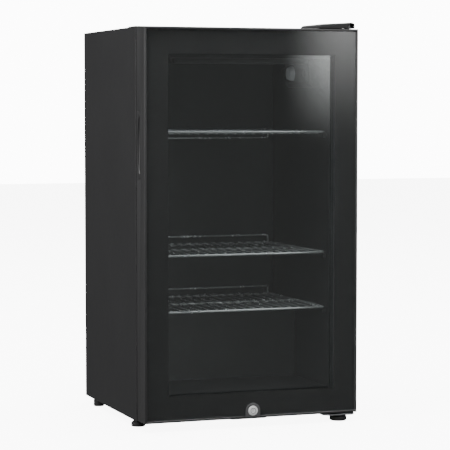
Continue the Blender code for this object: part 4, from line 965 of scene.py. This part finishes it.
class REFRIGERATOR_OT_feet(bpy.types.Operator):
    """Make the four feet"""

    bl_idname = "refrigerator.feet"
    bl_label = "Feet"

    def execute(self, context):
        for node in ("foot_front_left", "foot_front_right", "foot_rear_left", "foot_rear_right"):
            refine(node, "rubber", METAL_EDGE, smooth=40)
        return {"FINISHED"}


class REFRIGERATOR_OT_controls(bpy.types.Operator):
    """Make the thermostat with its dial and numbers, the rocker switch and the strip light"""

    bl_idname = "refrigerator.controls"
    bl_label = "Controls"

    def execute(self, context):
        refine("thermostat_housing", "plastic", MOULDED_EDGE)
        refine("thermostat_knob", "white", FINE_EDGE)
        refine("light_switch", "plastic", FINE_EDGE)
        refine("light_housing", "plastic", METAL_EDGE)
        paint_node("light_lens", "lens")
        self.numbers()
        return {"FINISHED"}

    def numbers(self):
        """The numbers around the dial, from 1."""
        centre = (KNOB_LOW + KNOB_HIGH) / 2
        x = CONTROL_LOW.x - NUMBER_LIFT
        shape = bmesh.new()
        for k in range(DIAL_NUMBERS):
            angle = radians(FIRST_NUMBER + NUMBER_STEP * k)
            curve = bpy.data.curves.new("dial_number", "FONT")
            curve.body = str(k + 1)
            curve.size = NUMBER_SIZE
            curve.extrude = NUMBER_THICKNESS
            curve.align_x = "CENTER"
            curve.align_y = "CENTER"
            text = bpy.data.objects.new("dial_number", curve)
            mesh = bpy.data.meshes.new_from_object(text)
            spot = Vector((x, centre.y - NUMBER_RADIUS * sin(angle),
                           centre.z + NUMBER_RADIUS * cos(angle)))
            turn = Matrix.Rotation(radians(-90), 4, "Z") @ Matrix.Rotation(radians(90), 4, "X")
            mesh.transform(Matrix.Translation(spot) @ turn)
            shape.from_mesh(mesh)
            bpy.data.objects.remove(text)
            bpy.data.meshes.remove(mesh)
        bmesh.ops.remove_doubles(shape, verts=shape.verts, dist=TEXT_MERGE_DISTANCE)
        finish_piece("dial_numbers", shape, "white", "cabinet")


class REFRIGERATOR_OT_cooling(bpy.types.Operator):
    """Make the compressor, its pipes and mounts, the coils and the defrost water's parts"""

    bl_idname = "refrigerator.cooling"
    bl_label = "Cooling"

    def execute(self, context):
        refine("compressor", "enamel", NO_ROUNDING, smooth=50)
        refine("relay_box", "plastic", BROAD_EDGE)
        refine("evaporating_tray", "plastic", MOULDED_EDGE)
        for number in range(1, 5):
            paint_node(f"compressor_mount_{number}", "rubber")
        for node in ("condenser_coil_left", "condenser_coil_right", "suction_pipe",
                     "discharge_pipe", "filter_drier", "drier_feed_pipe"):
            paint_node(node, "copper")
        paint_node("evaporator", "aluminium")
        paint_node("drain_tube", "white")
        paint_node("mains_inlet_gland", "plastic")
        self.mount_bolts()
        return {"FINISHED"}

    def mount_bolts(self):
        """Bolt heads on the compressor's foot plate, over its four rubber mounts."""
        shape = bmesh.new()
        for number in range(1, 5):
            low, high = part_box(f"compressor_mount_{number}")
            centre = (low + high) / 2
            foot = (centre.x, centre.y, high.z + FOOT_PLATE)
            add_screw(shape, foot, (0, 0, 1), BOLT_RADIUS, BOLT_HEIGHT)
        bmesh.ops.recalc_face_normals(shape, faces=shape.faces)
        finish_piece("compressor_bolts", shape, "zinc", "cabinet")


class REFRIGERATOR_PT_pieces(bpy.types.Panel):
    """Lists the refrigerator's pieces"""

    bl_label = "Refrigerator"
    bl_space_type = "VIEW_3D"
    bl_region_type = "UI"
    bl_category = "Refrigerator"

    def draw(self, context):
        for operator in OPERATORS:
            self.layout.operator(operator.bl_idname)


SETTINGS = {
    "refrigerator_stage": StageSettings,
    "refrigerator_cabinet": CabinetSettings,
    "refrigerator_door": DoorSettings,
    "refrigerator_shelf": ShelfSettings,
}
OPERATORS = (
    REFRIGERATOR_OT_stage, REFRIGERATOR_OT_cabinet, REFRIGERATOR_OT_liner, REFRIGERATOR_OT_shelves,
    REFRIGERATOR_OT_door_frame, REFRIGERATOR_OT_glazing, REFRIGERATOR_OT_gasket,
    REFRIGERATOR_OT_lock, REFRIGERATOR_OT_hinges, REFRIGERATOR_OT_feet, REFRIGERATOR_OT_controls,
    REFRIGERATOR_OT_cooling,
)


def register():
    """Register the classes and their settings."""
    for name, settings in SETTINGS.items():
        bpy.utils.register_class(settings)
        setattr(bpy.types.Scene, name, bpy.props.PointerProperty(type=settings))
    for kind in (*OPERATORS, REFRIGERATOR_PT_pieces):
        bpy.utils.register_class(kind)


def unregister():
    """Remove the classes and their settings."""
    for kind in reversed((*OPERATORS, REFRIGERATOR_PT_pieces)):
        bpy.utils.unregister_class(kind)
    for name, settings in SETTINGS.items():
        delattr(bpy.types.Scene, name)
        bpy.utils.unregister_class(settings)


def check_finishes():
    """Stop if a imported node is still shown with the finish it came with."""
    ours = set(MATERIALS.values())
    left = [name for name, node in frame["nodes"].items()
            if not node.hide_render and not set(node.data.materials) <= ours]
    if left:
        raise RuntimeError(f"these nodes have no finish yet: {sorted(left)}")


def main():
    """Make every piece in order."""
    register()
    MATERIALS.update(make_materials())
    for operator in OPERATORS:
        group, name = operator.bl_idname.split(".")
        getattr(getattr(bpy.ops, group), name)()
    check_finishes()


if __name__ == "__main__":
    main()
